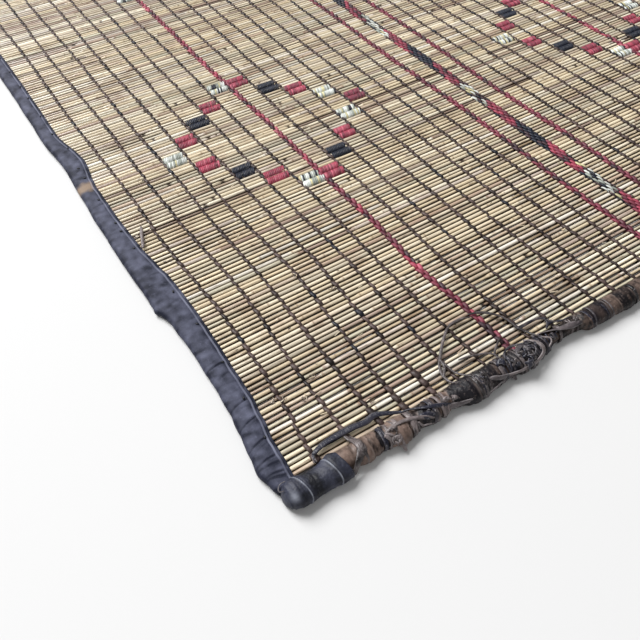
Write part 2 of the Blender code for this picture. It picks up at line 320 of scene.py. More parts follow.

# %% [markdown]
# ## Dry straw
# No two stems have the same colour: most are straw yellow, some nearly white, a few reddish or
# grey green. Each stem carries a random number for that, and each length between two joints
# another. Grime and painted shade darken the stems' sides where the height is near the stems'
# middle, more near the front, and the joints and flecks are brown.

# %% Straw
def start_material(name, roughness, specular=0.4):
    """A Principled finish with its node tree ready to write."""
    material = bpy.data.materials.new(name)
    material.use_nodes = True
    shader = material.node_tree.nodes["Principled BSDF"]
    shader.inputs["Roughness"].default_value = roughness
    shader.inputs["Specular IOR Level"].default_value = specular
    writer = Graph(material.node_tree)
    place = writer.node("ShaderNodeTexCoord").outputs["Object"]
    return material, shader.inputs, writer, place


STRAW_STOPS = [
    (0.00, (0.97, 0.89, 0.72)), (0.16, (0.84, 0.73, 0.53)), (0.45, (0.76, 0.63, 0.43)), (0.66, (0.90, 0.81, 0.64)),
    (0.76, (0.58, 0.43, 0.32)), (0.83, (0.75, 0.71, 0.54)), (0.91, (0.46, 0.34, 0.27)), (1.00, (1.00, 0.95, 0.83)),
]
# Grime and painted shade: the sides darken over the depth span, more across the front span, towards these colours.
GRIME_AND_SHADE_DEPTH = (0.00050, 0.00158)
LOOSE_AND_SHADED_FRONT = (-0.46, -0.20)
GRIME_AND_SHADE_STOPS = [(0.0, (0.012, 0.007, 0.004)), (0.45, (0.40, 0.34, 0.28)), (1.0, (1.00, 1.00, 1.00))]


def make_straw():
    """The finish of the dry stems."""
    material, sockets, graph, place = start_material("dry_straw", 0.27, 0.80)
    lines = graph.node("ShaderNodeGroup", place, 16.0, 1500.0, node_tree=FIBRE_LINES).outputs
    stem = graph.attribute("stem")
    length = graph.attribute("length")
    joint = graph.attribute("joint")
    splice = graph.attribute("splice")
    lot = graph.math("FRACT", graph.math("ADD", stem, graph.math("MULTIPLY", length, 0.22)))
    colour = graph.ramp(lot, STRAW_STOPS)
    shade = graph.math("ADD", graph.math("MULTIPLY", length, 0.36), 0.76)
    shade = graph.math("MULTIPLY", shade, graph.scale_to(lines["Lines"], 0.3, 0.7, 0.76, 1.14))
    colour = graph.tint(1.0, colour, graph.vector(shade, shade, shade), "MULTIPLY")
    stains = graph.scale_to(graph.noise(place, 34.0, 4.0, 0.65), 0.50, 0.72)
    colour = graph.tint(graph.math("MULTIPLY", stains, 0.50), colour, (0.43, 0.28, 0.19, 1.0))
    colour = graph.tint(graph.math("MULTIPLY", lines["Flecks"], 0.60), colour, (0.16, 0.09, 0.05, 1.0))
    crack = graph.scale_to(lines["Lines"], 0.66, 0.70)
    colour = graph.tint(graph.math("MULTIPLY", crack, 0.75), colour, (0.12, 0.07, 0.04, 1.0))
    ring = graph.scale_to(joint, 0.62, 0.95)
    colour = graph.tint(graph.math("MULTIPLY", ring, 0.55), colour, (0.25, 0.15, 0.08, 1.0))
    # Painted shade at splices: a dark wedge where the pinched stem leaves a gap.
    split = graph.math("MULTIPLY", splice, graph.scale_to(joint, 0.30, 0.75))
    colour = graph.tint(graph.math("MULTIPLY", split, 0.85), colour, (0.07, 0.045, 0.03, 1.0))
    # Grime and painted shade: sides darken near the stems' axis height, wider under stains, less towards the back.
    depth = graph.math("ABSOLUTE", graph.math("SUBTRACT", graph.split(place)["Z"], REED_AXIS_Z))
    depth = graph.math("ADD", depth, graph.math("MULTIPLY", graph.math("SUBTRACT", stains, 0.6), -0.0003))
    depth = graph.math("ADD", depth, graph.scale_to(graph.split(place)["Y"], *LOOSE_AND_SHADED_FRONT, 0.0, 0.00024))
    grime_and_shade = graph.ramp(graph.scale_to(depth, *GRIME_AND_SHADE_DEPTH), GRIME_AND_SHADE_STOPS)
    colour = graph.tint(1.0, colour, grime_and_shade, "MULTIPLY")
    graph.plug(sockets["Base Color"], colour)
    bump = graph.node("ShaderNodeBump")
    bump.inputs["Distance"].default_value = 0.00025
    bump.inputs["Strength"].default_value = 0.6
    graph.plug(bump.inputs["Height"], lines["Lines"])
    graph.plug(sockets["Normal"], bump.outputs["Normal"])
    return material


STRAW = make_straw()
print("finish:", STRAW.name)

# %% [markdown]
# ## Leathers
# All the leathers share one recipe: a dark and a paler dye mixed by the piece's own number
# and by the blotches, a rubbed colour on scuffs and raised edges, and the grain as bump. What
# differs is the dyes, how coarse the grain is and how dull the surface.

# %% Leathers
def make_leather(name, dark, pale, rubbed, roughness=0.6, grain=900.0, blotch=60.0, wear=0.5, bump_size=0.0004, second=None, gloss=0.35):
    """A leather finish; the attributes tone, worn and second come from the piece."""
    material, sockets, graph, place = start_material(name, roughness, gloss)
    hide = graph.node("ShaderNodeGroup", place, grain, blotch, node_tree=HIDE_GRAIN).outputs
    tone = graph.math("MULTIPLY_ADD", graph.math("SUBTRACT", hide["Blotches"], 0.5), 0.6, graph.attribute("tone"))
    colour = graph.tint(tone, (*dark, 1.0), (*pale, 1.0))
    if second:
        colour = graph.tint(graph.attribute("second"), colour, (*second, 1.0))
    scuff = graph.math("MULTIPLY", hide["Scuffs"], wear)
    scuff = graph.math("MAXIMUM", scuff, graph.attribute("worn"))
    colour = graph.tint(scuff, colour, (*rubbed, 1.0))
    graph.plug(sockets["Base Color"], colour)
    bump = graph.node("ShaderNodeBump")
    bump.inputs["Distance"].default_value = bump_size
    bump.inputs["Strength"].default_value = 0.7
    graph.plug(bump.inputs["Height"], hide["Height"])
    graph.plug(sockets["Normal"], bump.outputs["Normal"])
    graph.plug(sockets["Roughness"], graph.math("MULTIPLY_ADD", hide["Scuffs"], 0.15, roughness - 0.05))
    return material


BROWN_THONG = make_leather(
    "brown_thong", (0.010, 0.006, 0.006), (0.118, 0.078, 0.070), (0.24, 0.18, 0.16), 0.50, wear=0.35, second=(0.010, 0.011, 0.020),
)
ROLL_LEATHER = make_leather(
    "roll_leather", (0.006, 0.004, 0.004), (0.195, 0.135, 0.110), (0.36, 0.29, 0.26), 0.50, 620.0, 150.0, 0.40, 0.00038,
    second=(0.004, 0.003, 0.006), gloss=0.24,
)
DARK_THONG = make_leather(
    "dark_thong", (0.004, 0.003, 0.004), (0.185, 0.152, 0.150), (0.47, 0.44, 0.45), 0.38, blotch=140.0, wear=0.45, second=(0.010, 0.011, 0.024),
)
INDIGO_STRIP = make_leather(
    "indigo_strip", (0.009, 0.011, 0.024), (0.098, 0.104, 0.155), (0.19, 0.20, 0.27), 0.70, 1300.0, 75.0, 0.25, 0.0003,
    second=(0.26, 0.19, 0.14), gloss=0.20,
)
BLACK_SLEEVE = make_leather(
    "black_sleeve", (0.002, 0.0025, 0.006), (0.044, 0.048, 0.078), (0.34, 0.36, 0.42), 0.56, 700.0, 170.0, 0.08, 0.00035, gloss=0.32,
)
LEATHERS = (BROWN_THONG, ROLL_LEATHER, DARK_THONG, INDIGO_STRIP, BLACK_SLEEVE)
print("leathers:", [leather.name for leather in LEATHERS])

# %% [markdown]
# ## Dyed thongs
# The red thongs, the wide band and the blocks show several dyes side by side. One finish
# holds them all: each short length of thong carries a number, and a ramp with hard steps turns
# the number into its dye. The dyes are worn, so blotches and scuffs go over them.

# %% Dyed thongs
DYES = {
    "rose": (0.46, 0.105, 0.150), "crimson": (0.34, 0.050, 0.086), "wine": (0.215, 0.040, 0.066), "deep_red": (0.125, 0.028, 0.045),
    "plum": (0.050, 0.024, 0.032), "navy": (0.008, 0.012, 0.026), "chalk": (0.68, 0.71, 0.67),
    "sage": (0.33, 0.36, 0.32), "butter": (0.62, 0.57, 0.33),
}


def dye_number(name):
    """The number that stands for a dye, in the middle of its step on the ramp."""
    return (list(DYES).index(name) + 0.5) / len(DYES)


def make_dyed(name):
    """A leather whose dye is picked by the attribute dye."""
    material, sockets, graph, place = start_material(name, 0.50, 0.35)
    hide = graph.node("ShaderNodeGroup", place, 900.0, 110.0, node_tree=HIDE_GRAIN).outputs
    stops = [(step / len(DYES), colour) for step, colour in enumerate(DYES.values())]
    colour = graph.ramp(graph.attribute("dye"), stops, "CONSTANT")
    tone = graph.math("MULTIPLY_ADD", hide["Blotches"], 0.55, graph.math("MULTIPLY", graph.attribute("tone"), 0.45))
    shade = graph.math("ADD", tone, 0.50)
    colour = graph.tint(1.0, colour, graph.vector(shade, shade, shade), "MULTIPLY")
    colour = graph.tint(graph.math("MULTIPLY", hide["Scuffs"], 0.25), colour, (0.40, 0.33, 0.32, 1.0))
    graph.plug(sockets["Base Color"], colour)
    bump = graph.node("ShaderNodeBump")
    bump.inputs["Distance"].default_value = 0.0004
    bump.inputs["Strength"].default_value = 0.7
    graph.plug(bump.inputs["Height"], hide["Height"])
    graph.plug(sockets["Normal"], bump.outputs["Normal"])
    return material


DYED_THONG = make_dyed("dyed_thong")
print("dyes:", {name: round(dye_number(name), 3) for name in DYES})

# %% [markdown]
# ## Growing pieces with Geometry Nodes
# What repeats by a rule is grown: a tree of nodes places and shapes every copy from a few
# named numbers. The result is then turned into a plain mesh, so nothing stays live.

# %% Trees and the plain mesh they leave
def geometry_tree(name, inputs):
    """An empty Geometry Nodes tree with named inputs."""
    tree = bpy.data.node_groups.new(name, "GeometryNodeTree")
    tree.interface.new_socket("Geometry", in_out="INPUT", socket_type="NodeSocketGeometry")
    tree.interface.new_socket("Geometry", in_out="OUTPUT", socket_type="NodeSocketGeometry")
    for label, kind, value in inputs:
        socket = tree.interface.new_socket(label, in_out="INPUT", socket_type=kind)
        if value is not None:
            socket.default_value = value
    entry = tree.nodes.new("NodeGroupInput").outputs
    leave = tree.nodes.new("NodeGroupOutput").inputs[0]
    return Graph(tree), {socket.name: socket for socket in entry}, leave


def link_piece(name, mesh):
    """A finished mesh as an object at the origin."""
    mesh.name = name
    piece = bpy.data.objects.new(name, mesh)
    bpy.context.scene.collection.objects.link(piece)
    return piece


def grow(name, source, tree, inputs):
    """Run a tree on a source mesh and keep the result as a plain mesh."""
    carrier = link_piece(name + "_source", source)
    modifier = carrier.modifiers.new("grow", "NODES")
    modifier.node_group = tree
    for item in tree.interface.items_tree:
        if item.item_type == "SOCKET" and item.in_out == "INPUT" and item.name in inputs:
            modifier[item.identifier] = inputs[item.name]
    scene_graph = bpy.context.evaluated_depsgraph_get()
    grown = carrier.evaluated_get(scene_graph)
    mesh = bpy.data.meshes.new_from_object(grown, preserve_all_data_layers=True, depsgraph=scene_graph)
    bpy.data.objects.remove(carrier, do_unlink=True)
    piece = link_piece(name, mesh)
    mesh.calc_loop_triangles()
    print(name, "has", len(mesh.loop_triangles), "triangles")
    return piece


def float_attribute(mesh, name, values):
    """Give a mesh's points a number each."""
    layer = mesh.attributes.new(name, "FLOAT", "POINT")
    layer.data.foreach_set("value", values)


FLOAT = "NodeSocketFloat"
WHOLE = "NodeSocketInt"
FINISH = "NodeSocketMaterial"

# %% [markdown]
# ## The stems
# Each stem is one thin tube with eight sides. A row of points gives every stem its place, and
# a straight stick is copied onto each. The stick's stations are then moved: they crowd at the
# joints, which lie at random places, and there the stem swells a little, or is pinched where two
# stems are spliced, with painted shade in the gap there. Slow noise bends each stem by a fraction of a millimetre.

# %% Stems
JOINTS = 8
STEPS = 6
# A few stems are thinner and dark brown on some lengths: painted shade standing for dark gaps.
DARK_GAP_STEMS = (60, 74, 137, 181)
graph, entry, leave = geometry_tree("lay_stems", [
    ("Count", WHOLE, REED_COUNT), ("Pitch", FLOAT, REED_PITCH), ("Length", FLOAT, 2 * REED_END_X),
    ("Radius", FLOAT, REED_RADIUS), ("Axis height", FLOAT, REED_AXIS_Z), ("Bend", FLOAT, 0.0015),
    ("Seed", WHOLE, 11), ("Finish", FINISH, None),
])
first_y = graph.math("MULTIPLY", graph.math("SUBTRACT", entry["Count"], 1), graph.math("MULTIPLY", entry["Pitch"], -0.5))
places = graph.add(
    "GeometryNodeMeshLine", entry["Count"],
    graph.vector(0.0, first_y, entry["Axis height"]), graph.vector(0.0, entry["Pitch"], 0.0),
)
index = graph.add("GeometryNodeInputIndex")
places = graph.add("GeometryNodeStoreNamedAttribute", places, None, "number", index, data_type="INT", domain="POINT")
lot = graph.add("FunctionNodeRandomValue", 0.0, 1.0, index, entry["Seed"], data_type="FLOAT")


def is_dark_gap_stem(number):
    """One for the few stems that are thinned and coloured dark brown as painted shade of gaps."""
    found = graph.math("COMPARE", number, float(DARK_GAP_STEMS[0]), 0.1)
    for dull in DARK_GAP_STEMS[1:]:
        found = graph.math("MAXIMUM", found, graph.math("COMPARE", number, float(dull), 0.1))
    return found


# Those stems take the ramp's dark brown step: painted shade.
lot = graph.mix(is_dark_gap_stem(index), lot, 0.905)
places = graph.add("GeometryNodeStoreNamedAttribute", places, None, "stem", lot, data_type="FLOAT", domain="POINT")
stick = graph.add("GeometryNodeCurvePrimitiveLine", (0.0, 0.0, 0.0), (1.0, 0.0, 0.0))
stick = graph.add("GeometryNodeResampleCurve", stick, None, JOINTS * STEPS + 1)
stems = graph.add("GeometryNodeInstanceOnPoints", places, None, stick)
stems = graph.add("GeometryNodeRealizeInstances", stems)

number = graph.add("GeometryNodeInputNamedAttribute", "number", data_type="INT")
spot = graph.split(graph.add("GeometryNodeInputPosition"))
way = graph.math("MULTIPLY", spot["X"], float(JOINTS))
lower = graph.math("MINIMUM", graph.math("FLOOR", graph.math("ADD", way, 0.001)), JOINTS - 1.0)
part = graph.math("SUBTRACT", way, lower)
lower_id = graph.math("ADD", graph.math("MULTIPLY", number, 16.0), lower)


def joint_shift(joint_id, joint_number):
    """How far a joint lies from its even place; the stem's two ends stay put."""
    shift = graph.add("FunctionNodeRandomValue", -0.38, 0.38, joint_id, 3, data_type="FLOAT")
    inside = graph.math("MULTIPLY", graph.math("GREATER_THAN", joint_number, 0.5), graph.math("LESS_THAN", joint_number, JOINTS - 0.5))
    return graph.math("MULTIPLY", shift, inside)


lower_shift = joint_shift(lower_id, lower)
upper_shift = joint_shift(graph.math("ADD", lower_id, 1.0), graph.math("ADD", lower, 1.0))
crowd = graph.node("ShaderNodeFloatCurve", 1.0, part)
points = crowd.mapping.curves[0].points
for at, value in ((1 / 6, 0.035), (2 / 6, 0.15), (3 / 6, 0.5), (4 / 6, 0.85), (5 / 6, 0.965)):
    points.new(at, value)
crowd.mapping.update()
span = graph.math("ADD", 1.0, graph.math("SUBTRACT", upper_shift, lower_shift))
reach = graph.math("ADD", graph.math("ADD", lower, lower_shift), graph.math("MULTIPLY", crowd.outputs[0], span))
stem_x = graph.math("MULTIPLY", graph.math("SUBTRACT", graph.math("DIVIDE", reach, float(JOINTS)), 0.5), entry["Length"])

away = graph.math("MINIMUM", part, graph.math("SUBTRACT", 1.0, part))
joint = graph.scale_to(away, 0.0, 1.0 / STEPS, 1.0, 0.0)
joint_id = graph.math("ADD", graph.math("MULTIPLY", number, 16.0), graph.math("ROUND", way))
spliced = graph.add("FunctionNodeRandomValue", 0.06, joint_id, 5, data_type="BOOLEAN")
stout = graph.add("FunctionNodeRandomValue", 0.80, 1.10, lower_id, 7, data_type="FLOAT")
swell = graph.mix(spliced, 0.10, -0.34)
loosened = graph.scale_to(spot["Y"], *LOOSE_AND_SHADED_FRONT, 0.95, 1.04)
dark_gap_length = graph.add("FunctionNodeRandomValue", 0.6, lower_id, 14, data_type="BOOLEAN")
dark_gap_length = graph.math("MULTIPLY", is_dark_gap_stem(number), dark_gap_length)
stout = graph.math("MULTIPLY", stout, graph.math("MULTIPLY", loosened, graph.mix(dark_gap_length, 1.0, 0.70)))
radius = graph.math("MULTIPLY", entry["Radius"], graph.math("MULTIPLY", stout, graph.math("MULTIPLY_ADD", joint, swell, 1.0)))

slow = graph.vector(graph.math("MULTIPLY", stem_x, 7.0), graph.math("MULTIPLY", number, 7.31), 0.0)
common = graph.vector(graph.math("MULTIPLY", stem_x, 5.0), graph.math("MULTIPLY", spot["Y"], 6.0), 4.0)
bend = graph.math("SUBTRACT", graph.noise(slow, 1.0, 1.0), 0.5)
lean = graph.math("SUBTRACT", graph.noise(common, 1.0, 1.0), 0.5)
bend = graph.math("MULTIPLY", graph.math("ADD", bend, lean), entry["Bend"])
rise = graph.math("MULTIPLY", graph.math("SUBTRACT", graph.noise(slow, 1.7, 1.0), 0.5), 0.0010)
moved = graph.vector(stem_x, graph.math("ADD", spot["Y"], bend), graph.math("ADD", spot["Z"], rise))
for label, value in (("joint", joint), ("splice", spliced)):
    stems = graph.add("GeometryNodeStoreNamedAttribute", stems, None, label, value, data_type="FLOAT", domain="POINT")
length_lot = graph.add("FunctionNodeRandomValue", 0.0, 1.0, lower_id, 9, data_type="FLOAT")
# On those lengths the lot is zero, for the darkest painted shade.
length_lot = graph.mix(dark_gap_length, length_lot, 0.0)
stems = graph.add("GeometryNodeStoreNamedAttribute", stems, None, "length", length_lot, data_type="FLOAT", domain="POINT")
stems = graph.add("GeometryNodeStoreNamedAttribute", stems, None, "girth", radius, data_type="FLOAT", domain="POINT")
stems = graph.add("GeometryNodeSetPosition", stems, None, moved)
girth = graph.add("GeometryNodeInputNamedAttribute", "girth", data_type="FLOAT")
ring = graph.add("GeometryNodeCurvePrimitiveCircle", 8, 1.0)
tubes = graph.add("GeometryNodeCurveToMesh", stems, ring, girth, True)
tubes = graph.add("GeometryNodeSetShadeSmooth", tubes, None, True)
tubes = graph.add("GeometryNodeRealizeInstances", tubes)
graph.plug(leave, graph.add("GeometryNodeSetMaterial", tubes, None, entry["Finish"]))

reeds = grow("reeds", bpy.data.meshes.new("stem_source"), graph.tree, {"Finish": STRAW, "Seed": 11})

# %% [markdown]
# ## Splinters and specks
# Dry stems split with use. Thin pale splinters lie on them, and dark specks are painted shade
# of the small holes where a stem has split. Each is a tiny five-sided stick. Most are strewn at random,
# more of them near the front, and a few groups lie where the real mat has them.

# %% Splinters
SPLIT_PLACES = (
    # way in, along
    (0.0334, 0.0437), (0.0461, 0.0551), (0.0218, 0.0513), (0.0144, 0.0525), (0.0669, 0.0199), (0.0197, 0.2429),
    (0.0130, 0.2037), (0.0060, 0.2407), (0.1010, 0.1130), (0.0860, 0.1400),
)
SPLINTERS = 420
BITS_AT_SPLITS = 7
SPLINTER_HEIGHT = 0.0049


def splinter_points():
    """A point for each splinter: where it lies, its length and turn, and whether it is dark."""
    lots = random.Random(37)
    points, facts = [], {"size": [], "turn": [], "stem": [], "length": [], "joint": [], "splice": []}

    def put(x, y, dark, size, turn):
        points.append((x, y, SPLINTER_HEIGHT + lots.uniform(-0.0003, 0.0004)))
        for label, value in (
            ("size", size), ("turn", turn), ("stem", lots.random()), ("length", 0.9), ("joint", float(dark)), ("splice", float(dark)),
        ):
            facts[label].append(value)

    for number in range(SPLINTERS):
        along = 2 * HALF_LENGTH * (0.01 + 0.98 * lots.random() ** 1.5)
        # Over half the specks are dark: painted shade of small holes in the stems.
        dark = lots.random() < 0.55
        size = lots.uniform(0.0010, 0.0026) if dark else lots.uniform(0.0025, 0.0075)
        put(lots.uniform(-1, 1) * (EDGE_X - 0.012), along - HALF_LENGTH, dark, size, lots.gauss(0.0, 0.30))
    for way_in, along in SPLIT_PLACES:
        for bit in range(BITS_AT_SPLITS):
            x = -EDGE_X + way_in + lots.gauss(0.0, 0.0013)
            put(x, along - HALF_LENGTH + lots.gauss(0.0, 0.0009), bit < 5, lots.uniform(0.0014, 0.0034), lots.uniform(-1.2, 1.2))
    mesh = bpy.data.meshes.new("splinter_points")
    mesh.from_pydata(points, [], [])
    for label, values in facts.items():
        float_attribute(mesh, label, values)
    return mesh


graph, entry, leave = geometry_tree("strew_splinters", [
    ("Thickness", FLOAT, 0.00045), ("Seed", WHOLE, 13), ("Finish", FINISH, None),
])
stick = graph.add("GeometryNodeMeshCylinder", 5, 2, 1, 0.5, 1.0)
size = graph.add("GeometryNodeInputNamedAttribute", "size", data_type="FLOAT")
turn = graph.add("GeometryNodeInputNamedAttribute", "turn", data_type="FLOAT")
index = graph.add("GeometryNodeInputIndex")
thick = graph.add("FunctionNodeRandomValue", 0.7, 1.7, index, entry["Seed"], data_type="FLOAT")
thick = graph.math("MULTIPLY", thick, entry["Thickness"])
tilt = graph.add("FunctionNodeRandomValue", -0.10, 0.10, index, graph.math("ADD", entry["Seed"], 1), data_type="FLOAT")
bits = graph.add(
    "GeometryNodeInstanceOnPoints", entry["Geometry"], None, stick, None, None,
    graph.vector(0.0, graph.math("ADD", tilt, math.pi / 2), turn), graph.vector(thick, thick, size),
)
bits = graph.add("GeometryNodeRealizeInstances", bits)
graph.plug(leave, graph.add("GeometryNodeSetMaterial", bits, None, entry["Finish"]))
splinters = grow("splinters", splinter_points(), graph.tree, {"Finish": STRAW, "Seed": 13})

# %% [markdown]
# ## Twined thongs
# Two strands make one thong row. While one passes over two stems the other passes under them,
# and between the stems they change places, side by side. So the row shows short slanted
# lengths, one after another. The script draws each row's line with five stations for each
# length, and the tree turns every line into its two strands.

# %% Lines for the thongs
STATION_PARTS = (0.0, 0.12, 0.30, 0.70, 0.88)
FLOATS = 127


def thong_lines(name, rows, seed):
    """Lines along the thongs; a row is (thong number, way aside, hand, shift, rule).

    A rule takes the lots, the way aside, the place along and the row, and gives the length's
    dye or its second leather, and how broad it is.
    """
    lots = random.Random(seed)
    points, edges = [], []
    facts = {"row": [], "hand": [], "phase": [], "dye": [], "broad": []}
    for row, (number, aside, hand, shift, rule) in enumerate(rows):
        first = len(points)
        picks = [rule(lots, aside, (turn + 0.5 + shift) * FLOAT_LENGTH, row) for turn in range(-1, FLOATS)]
        for step in range(-3, FLOATS * len(STATION_PARTS)):
            turn, part = divmod(step, len(STATION_PARTS))
            phase = turn + STATION_PARTS[part]
            along = (phase + shift) * FLOAT_LENGTH
            points.append((weft_x(number, along) + aside, along - HALF_LENGTH, 0.0))
            if len(points) - 1 > first:
                edges.append((len(points) - 2, len(points) - 1))
            dye, broad = picks[turn + 1]
            for label, value in (("row", float(row)), ("hand", hand), ("phase", phase), ("dye", dye), ("broad", broad)):
                facts[label].append(value)
    mesh = bpy.data.meshes.new(name)
    mesh.from_pydata(points, edges, [])
    for label, values in facts.items():
        float_attribute(mesh, label, values)
    return mesh


# %% The tree that twines
graph, entry, leave = geometry_tree("twine_pair", [
    ("Strap width", FLOAT, 0.0025), ("Strap thickness", FLOAT, 0.0010), ("Side throw", FLOAT, 0.0006),
    ("Upper height", FLOAT, 0.00508), ("Lower height", FLOAT, 0.00050), ("Axis height", FLOAT, REED_AXIS_Z),
    ("Unevenness", FLOAT, 0.0009), ("Seed", WHOLE, 3), ("Finish", FINISH, None),
])
lines = graph.add("GeometryNodeMeshToCurve", entry["Geometry"])
join = graph.tree.nodes.new("GeometryNodeJoinGeometry")
for strand in (1.0, 0.0):
    marked = graph.add("GeometryNodeStoreNamedAttribute", lines, None, "strand", strand, data_type="FLOAT", domain="POINT")
    graph.plug(join.inputs[0], marked)
strands = join.outputs[0]
named = {label: graph.add("GeometryNodeInputNamedAttribute", label, data_type="FLOAT") for label in ("row", "hand", "phase", "dye", "strand", "broad")}
turn = graph.math("FLOOR", graph.math("ADD", named["phase"], 0.001))
part = graph.math("SUBTRACT", named["phase"], turn)
under = graph.math("FLOORED_MODULO", graph.math("ADD", turn, named["strand"]), 2.0)
side = graph.math("SUBTRACT", 1.0, graph.math("MULTIPLY", under, 2.0))
half_turn = graph.math("MULTIPLY", part, math.pi)
arch = graph.math("POWER", graph.math("MAXIMUM", graph.math("SINE", half_turn), 0.0), 0.30)
half_thick = graph.math("MULTIPLY", graph.math("MULTIPLY", entry["Strap thickness"], 0.55), named["broad"])
rest = graph.mix(under, entry["Upper height"], graph.math("MAXIMUM", entry["Lower height"], half_thick))
height = graph.mix(arch, entry["Axis height"], rest)
throw = graph.math("MULTIPLY", graph.math("MULTIPLY", named["hand"], side), entry["Side throw"])
throw = graph.math("MULTIPLY", throw, graph.math("COSINE", half_turn))
float_id = graph.math("ADD", graph.math("MULTIPLY", turn, 2.0), graph.math("ADD", graph.math("MULTIPLY", named["row"], 1000.0), named["strand"]))
spot = graph.split(graph.add("GeometryNodeInputPosition"))
wander = graph.add("FunctionNodeRandomValue", -0.5, 0.5, float_id, graph.math("ADD", entry["Seed"], 1), data_type="FLOAT")
wander = graph.math("MULTIPLY", wander, graph.math("MULTIPLY", arch, entry["Unevenness"]))
x = graph.math("ADD", spot["X"], graph.math("ADD", throw, wander))
breadth = graph.math("MULTIPLY", named["broad"], graph.math("MULTIPLY_ADD", arch, 0.48, 0.52))
tone = graph.add("FunctionNodeRandomValue", 0.0, 1.0, float_id, entry["Seed"], data_type="FLOAT")
patchy = graph.vector(graph.math("MULTIPLY", spot["X"], 60.0), graph.math("MULTIPLY", spot["Y"], 30.0), 0.0)
patchy = graph.scale_to(graph.noise(patchy, 1.0, 2.0), 0.3, 0.7)
tone = graph.mix(0.55, tone, patchy)
for label, value in (("tone", tone), ("second", named["dye"]), ("breadth", breadth)):
    strands = graph.add("GeometryNodeStoreNamedAttribute", strands, None, label, value, data_type="FLOAT", domain="POINT")
strands = graph.add("GeometryNodeSetPosition", strands, None, graph.vector(x, spot["Y"], height))
strands = graph.add("GeometryNodeSetCurveNormal", strands, mode="Z_UP")
section = graph.add("GeometryNodeCurvePrimitiveQuadrilateral", entry["Strap width"], entry["Strap thickness"])
breadth = graph.add("GeometryNodeInputNamedAttribute", "breadth", data_type="FLOAT")
straps = graph.add("GeometryNodeCurveToMesh", strands, section, breadth, True)
straps = graph.add("GeometryNodeSetShadeSmooth", straps, None, True)
straps = graph.add("GeometryNodeRealizeInstances", straps)
graph.plug(leave, graph.add("GeometryNodeSetMaterial", straps, None, entry["Finish"]))
TWINE = graph.tree
print("tree:", TWINE.name, "with", len(TWINE.nodes), "nodes")

# %% [markdown]
# ## The plain thongs
# Most rows are one dark brown pair. They are grown in two pieces, left and right of the middle
# band, so that neither mesh gets too heavy.

# %% Plain thongs
RED_NUMBERS = (BAND_INDEX - MOTIF_OFFSET, BAND_INDEX - 1, BAND_INDEX + 1, BAND_INDEX + MOTIF_OFFSET)
plain_numbers = [number for number in range(1, WEFT_COUNT + 1) if number not in (*RED_NUMBERS, BAND_INDEX)]
BLACK_SHARE = 0.045
BROAD_ROWS = 5


def plain_rule(lots, aside, along, row):
    """Mostly brown, here and there black; the corner's rows are broader near the front."""
    near = max(0.0, 1 - along / 0.16) if row < BROAD_ROWS else 0.0
    broad = lots.uniform(0.70, 1.15) + near * lots.uniform(0.0, 0.90) * (lots.random() < 0.55)
    return float(lots.random() < BLACK_SHARE), broad


def plain_rows(numbers):
    return [(number, 0.0, 1.0, 0.0, plain_rule) for number in numbers]


left_numbers = [number for number in plain_numbers if number < BAND_INDEX]
right_numbers = [number for number in plain_numbers if number > BAND_INDEX]
left_lines = thong_lines("left_lines", plain_rows(left_numbers), 5)
right_lines = thong_lines("right_lines", plain_rows(right_numbers), 6)
thongs_left = grow("thongs_left", left_lines, TWINE, {"Finish": BROWN_THONG, "Seed": 3})
thongs_right = grow("thongs_right", right_lines, TWINE, {"Finish": BROWN_THONG, "Seed": 21})

# %% [markdown]
# ## The red rows
# Beside the band and on each motif's axis the row is red. It is two narrow pairs side by
# side that slant against each other like a plait, and lengths of dark leather are mixed in.

# %% Red rows
RED_ASIDE = 0.00130
RED_MIX = ("wine", "wine", "deep_red", "deep_red", "wine", "plum")
AXIS_MIX = ("crimson", "wine", "wine", "deep_red", "wine", "plum", "rose")
DULL_MIX = ("plum", "deep_red", "deep_red", "wine")


def red_rule(lots, aside, along, row):
    """Dark reds beside the band, brighter ones on the motifs' axes, which come first and last."""
    mix = AXIS_MIX if row in (0, 1, 6, 7) else RED_MIX
    if rough(along, row // 2, 3.0, 26.0) > 0.22:
        mix = DULL_MIX
    return dye_number(lots.choice(mix)), lots.uniform(0.95, 1.40)


red_rows = []
for number in RED_NUMBERS:
    red_rows += [(number, -RED_ASIDE, 1.0, 0.0, red_rule), (number, RED_ASIDE, -1.0, 0.5, red_rule)]
narrow = {"Strap width": 0.0021, "Side throw": 0.0005, "Unevenness": 0.0005}
red_pairs = grow("red_pairs", thong_lines("red_lines", red_rows, 7), TWINE, {"Finish": DYED_THONG, "Seed": 41, **narrow})

# %% [markdown]
# ## The band in the middle
# Five narrow pairs lie side by side. The outer two are dark, and the inner three change
# their dye in turn: red, chalk white, red, navy. The change runs at a slant across the band,
# and in the middle of each colour its dye spreads over the outer pairs too, so each colour
# looks like a long lozenge.

# %% Middle band
BAND_ASIDES = (-0.0044, -0.0023, 0.0, 0.0023, 0.0044)
BAND_HALF = 0.0055
SLANT_REACH = 1.3 * WEFT_PITCH
BAND_SECTIONS = (
    # share of the repeat, its dyes
    (0.24, ("wine", "wine", "crimson", "deep_red", "plum")), (0.25, ("navy", "navy", "navy", "navy", "plum")),
    (0.24, ("wine", "crimson", "wine", "deep_red")), (0.27, ("chalk", "butter", "sage", "chalk", "navy", "chalk", "sage", "plum")),
)
DYE_REPEAT = 7.53 * WEFT_PITCH
DYE_START = 6.20 * WEFT_PITCH
SPREAD_PART = (0.22, 0.80)


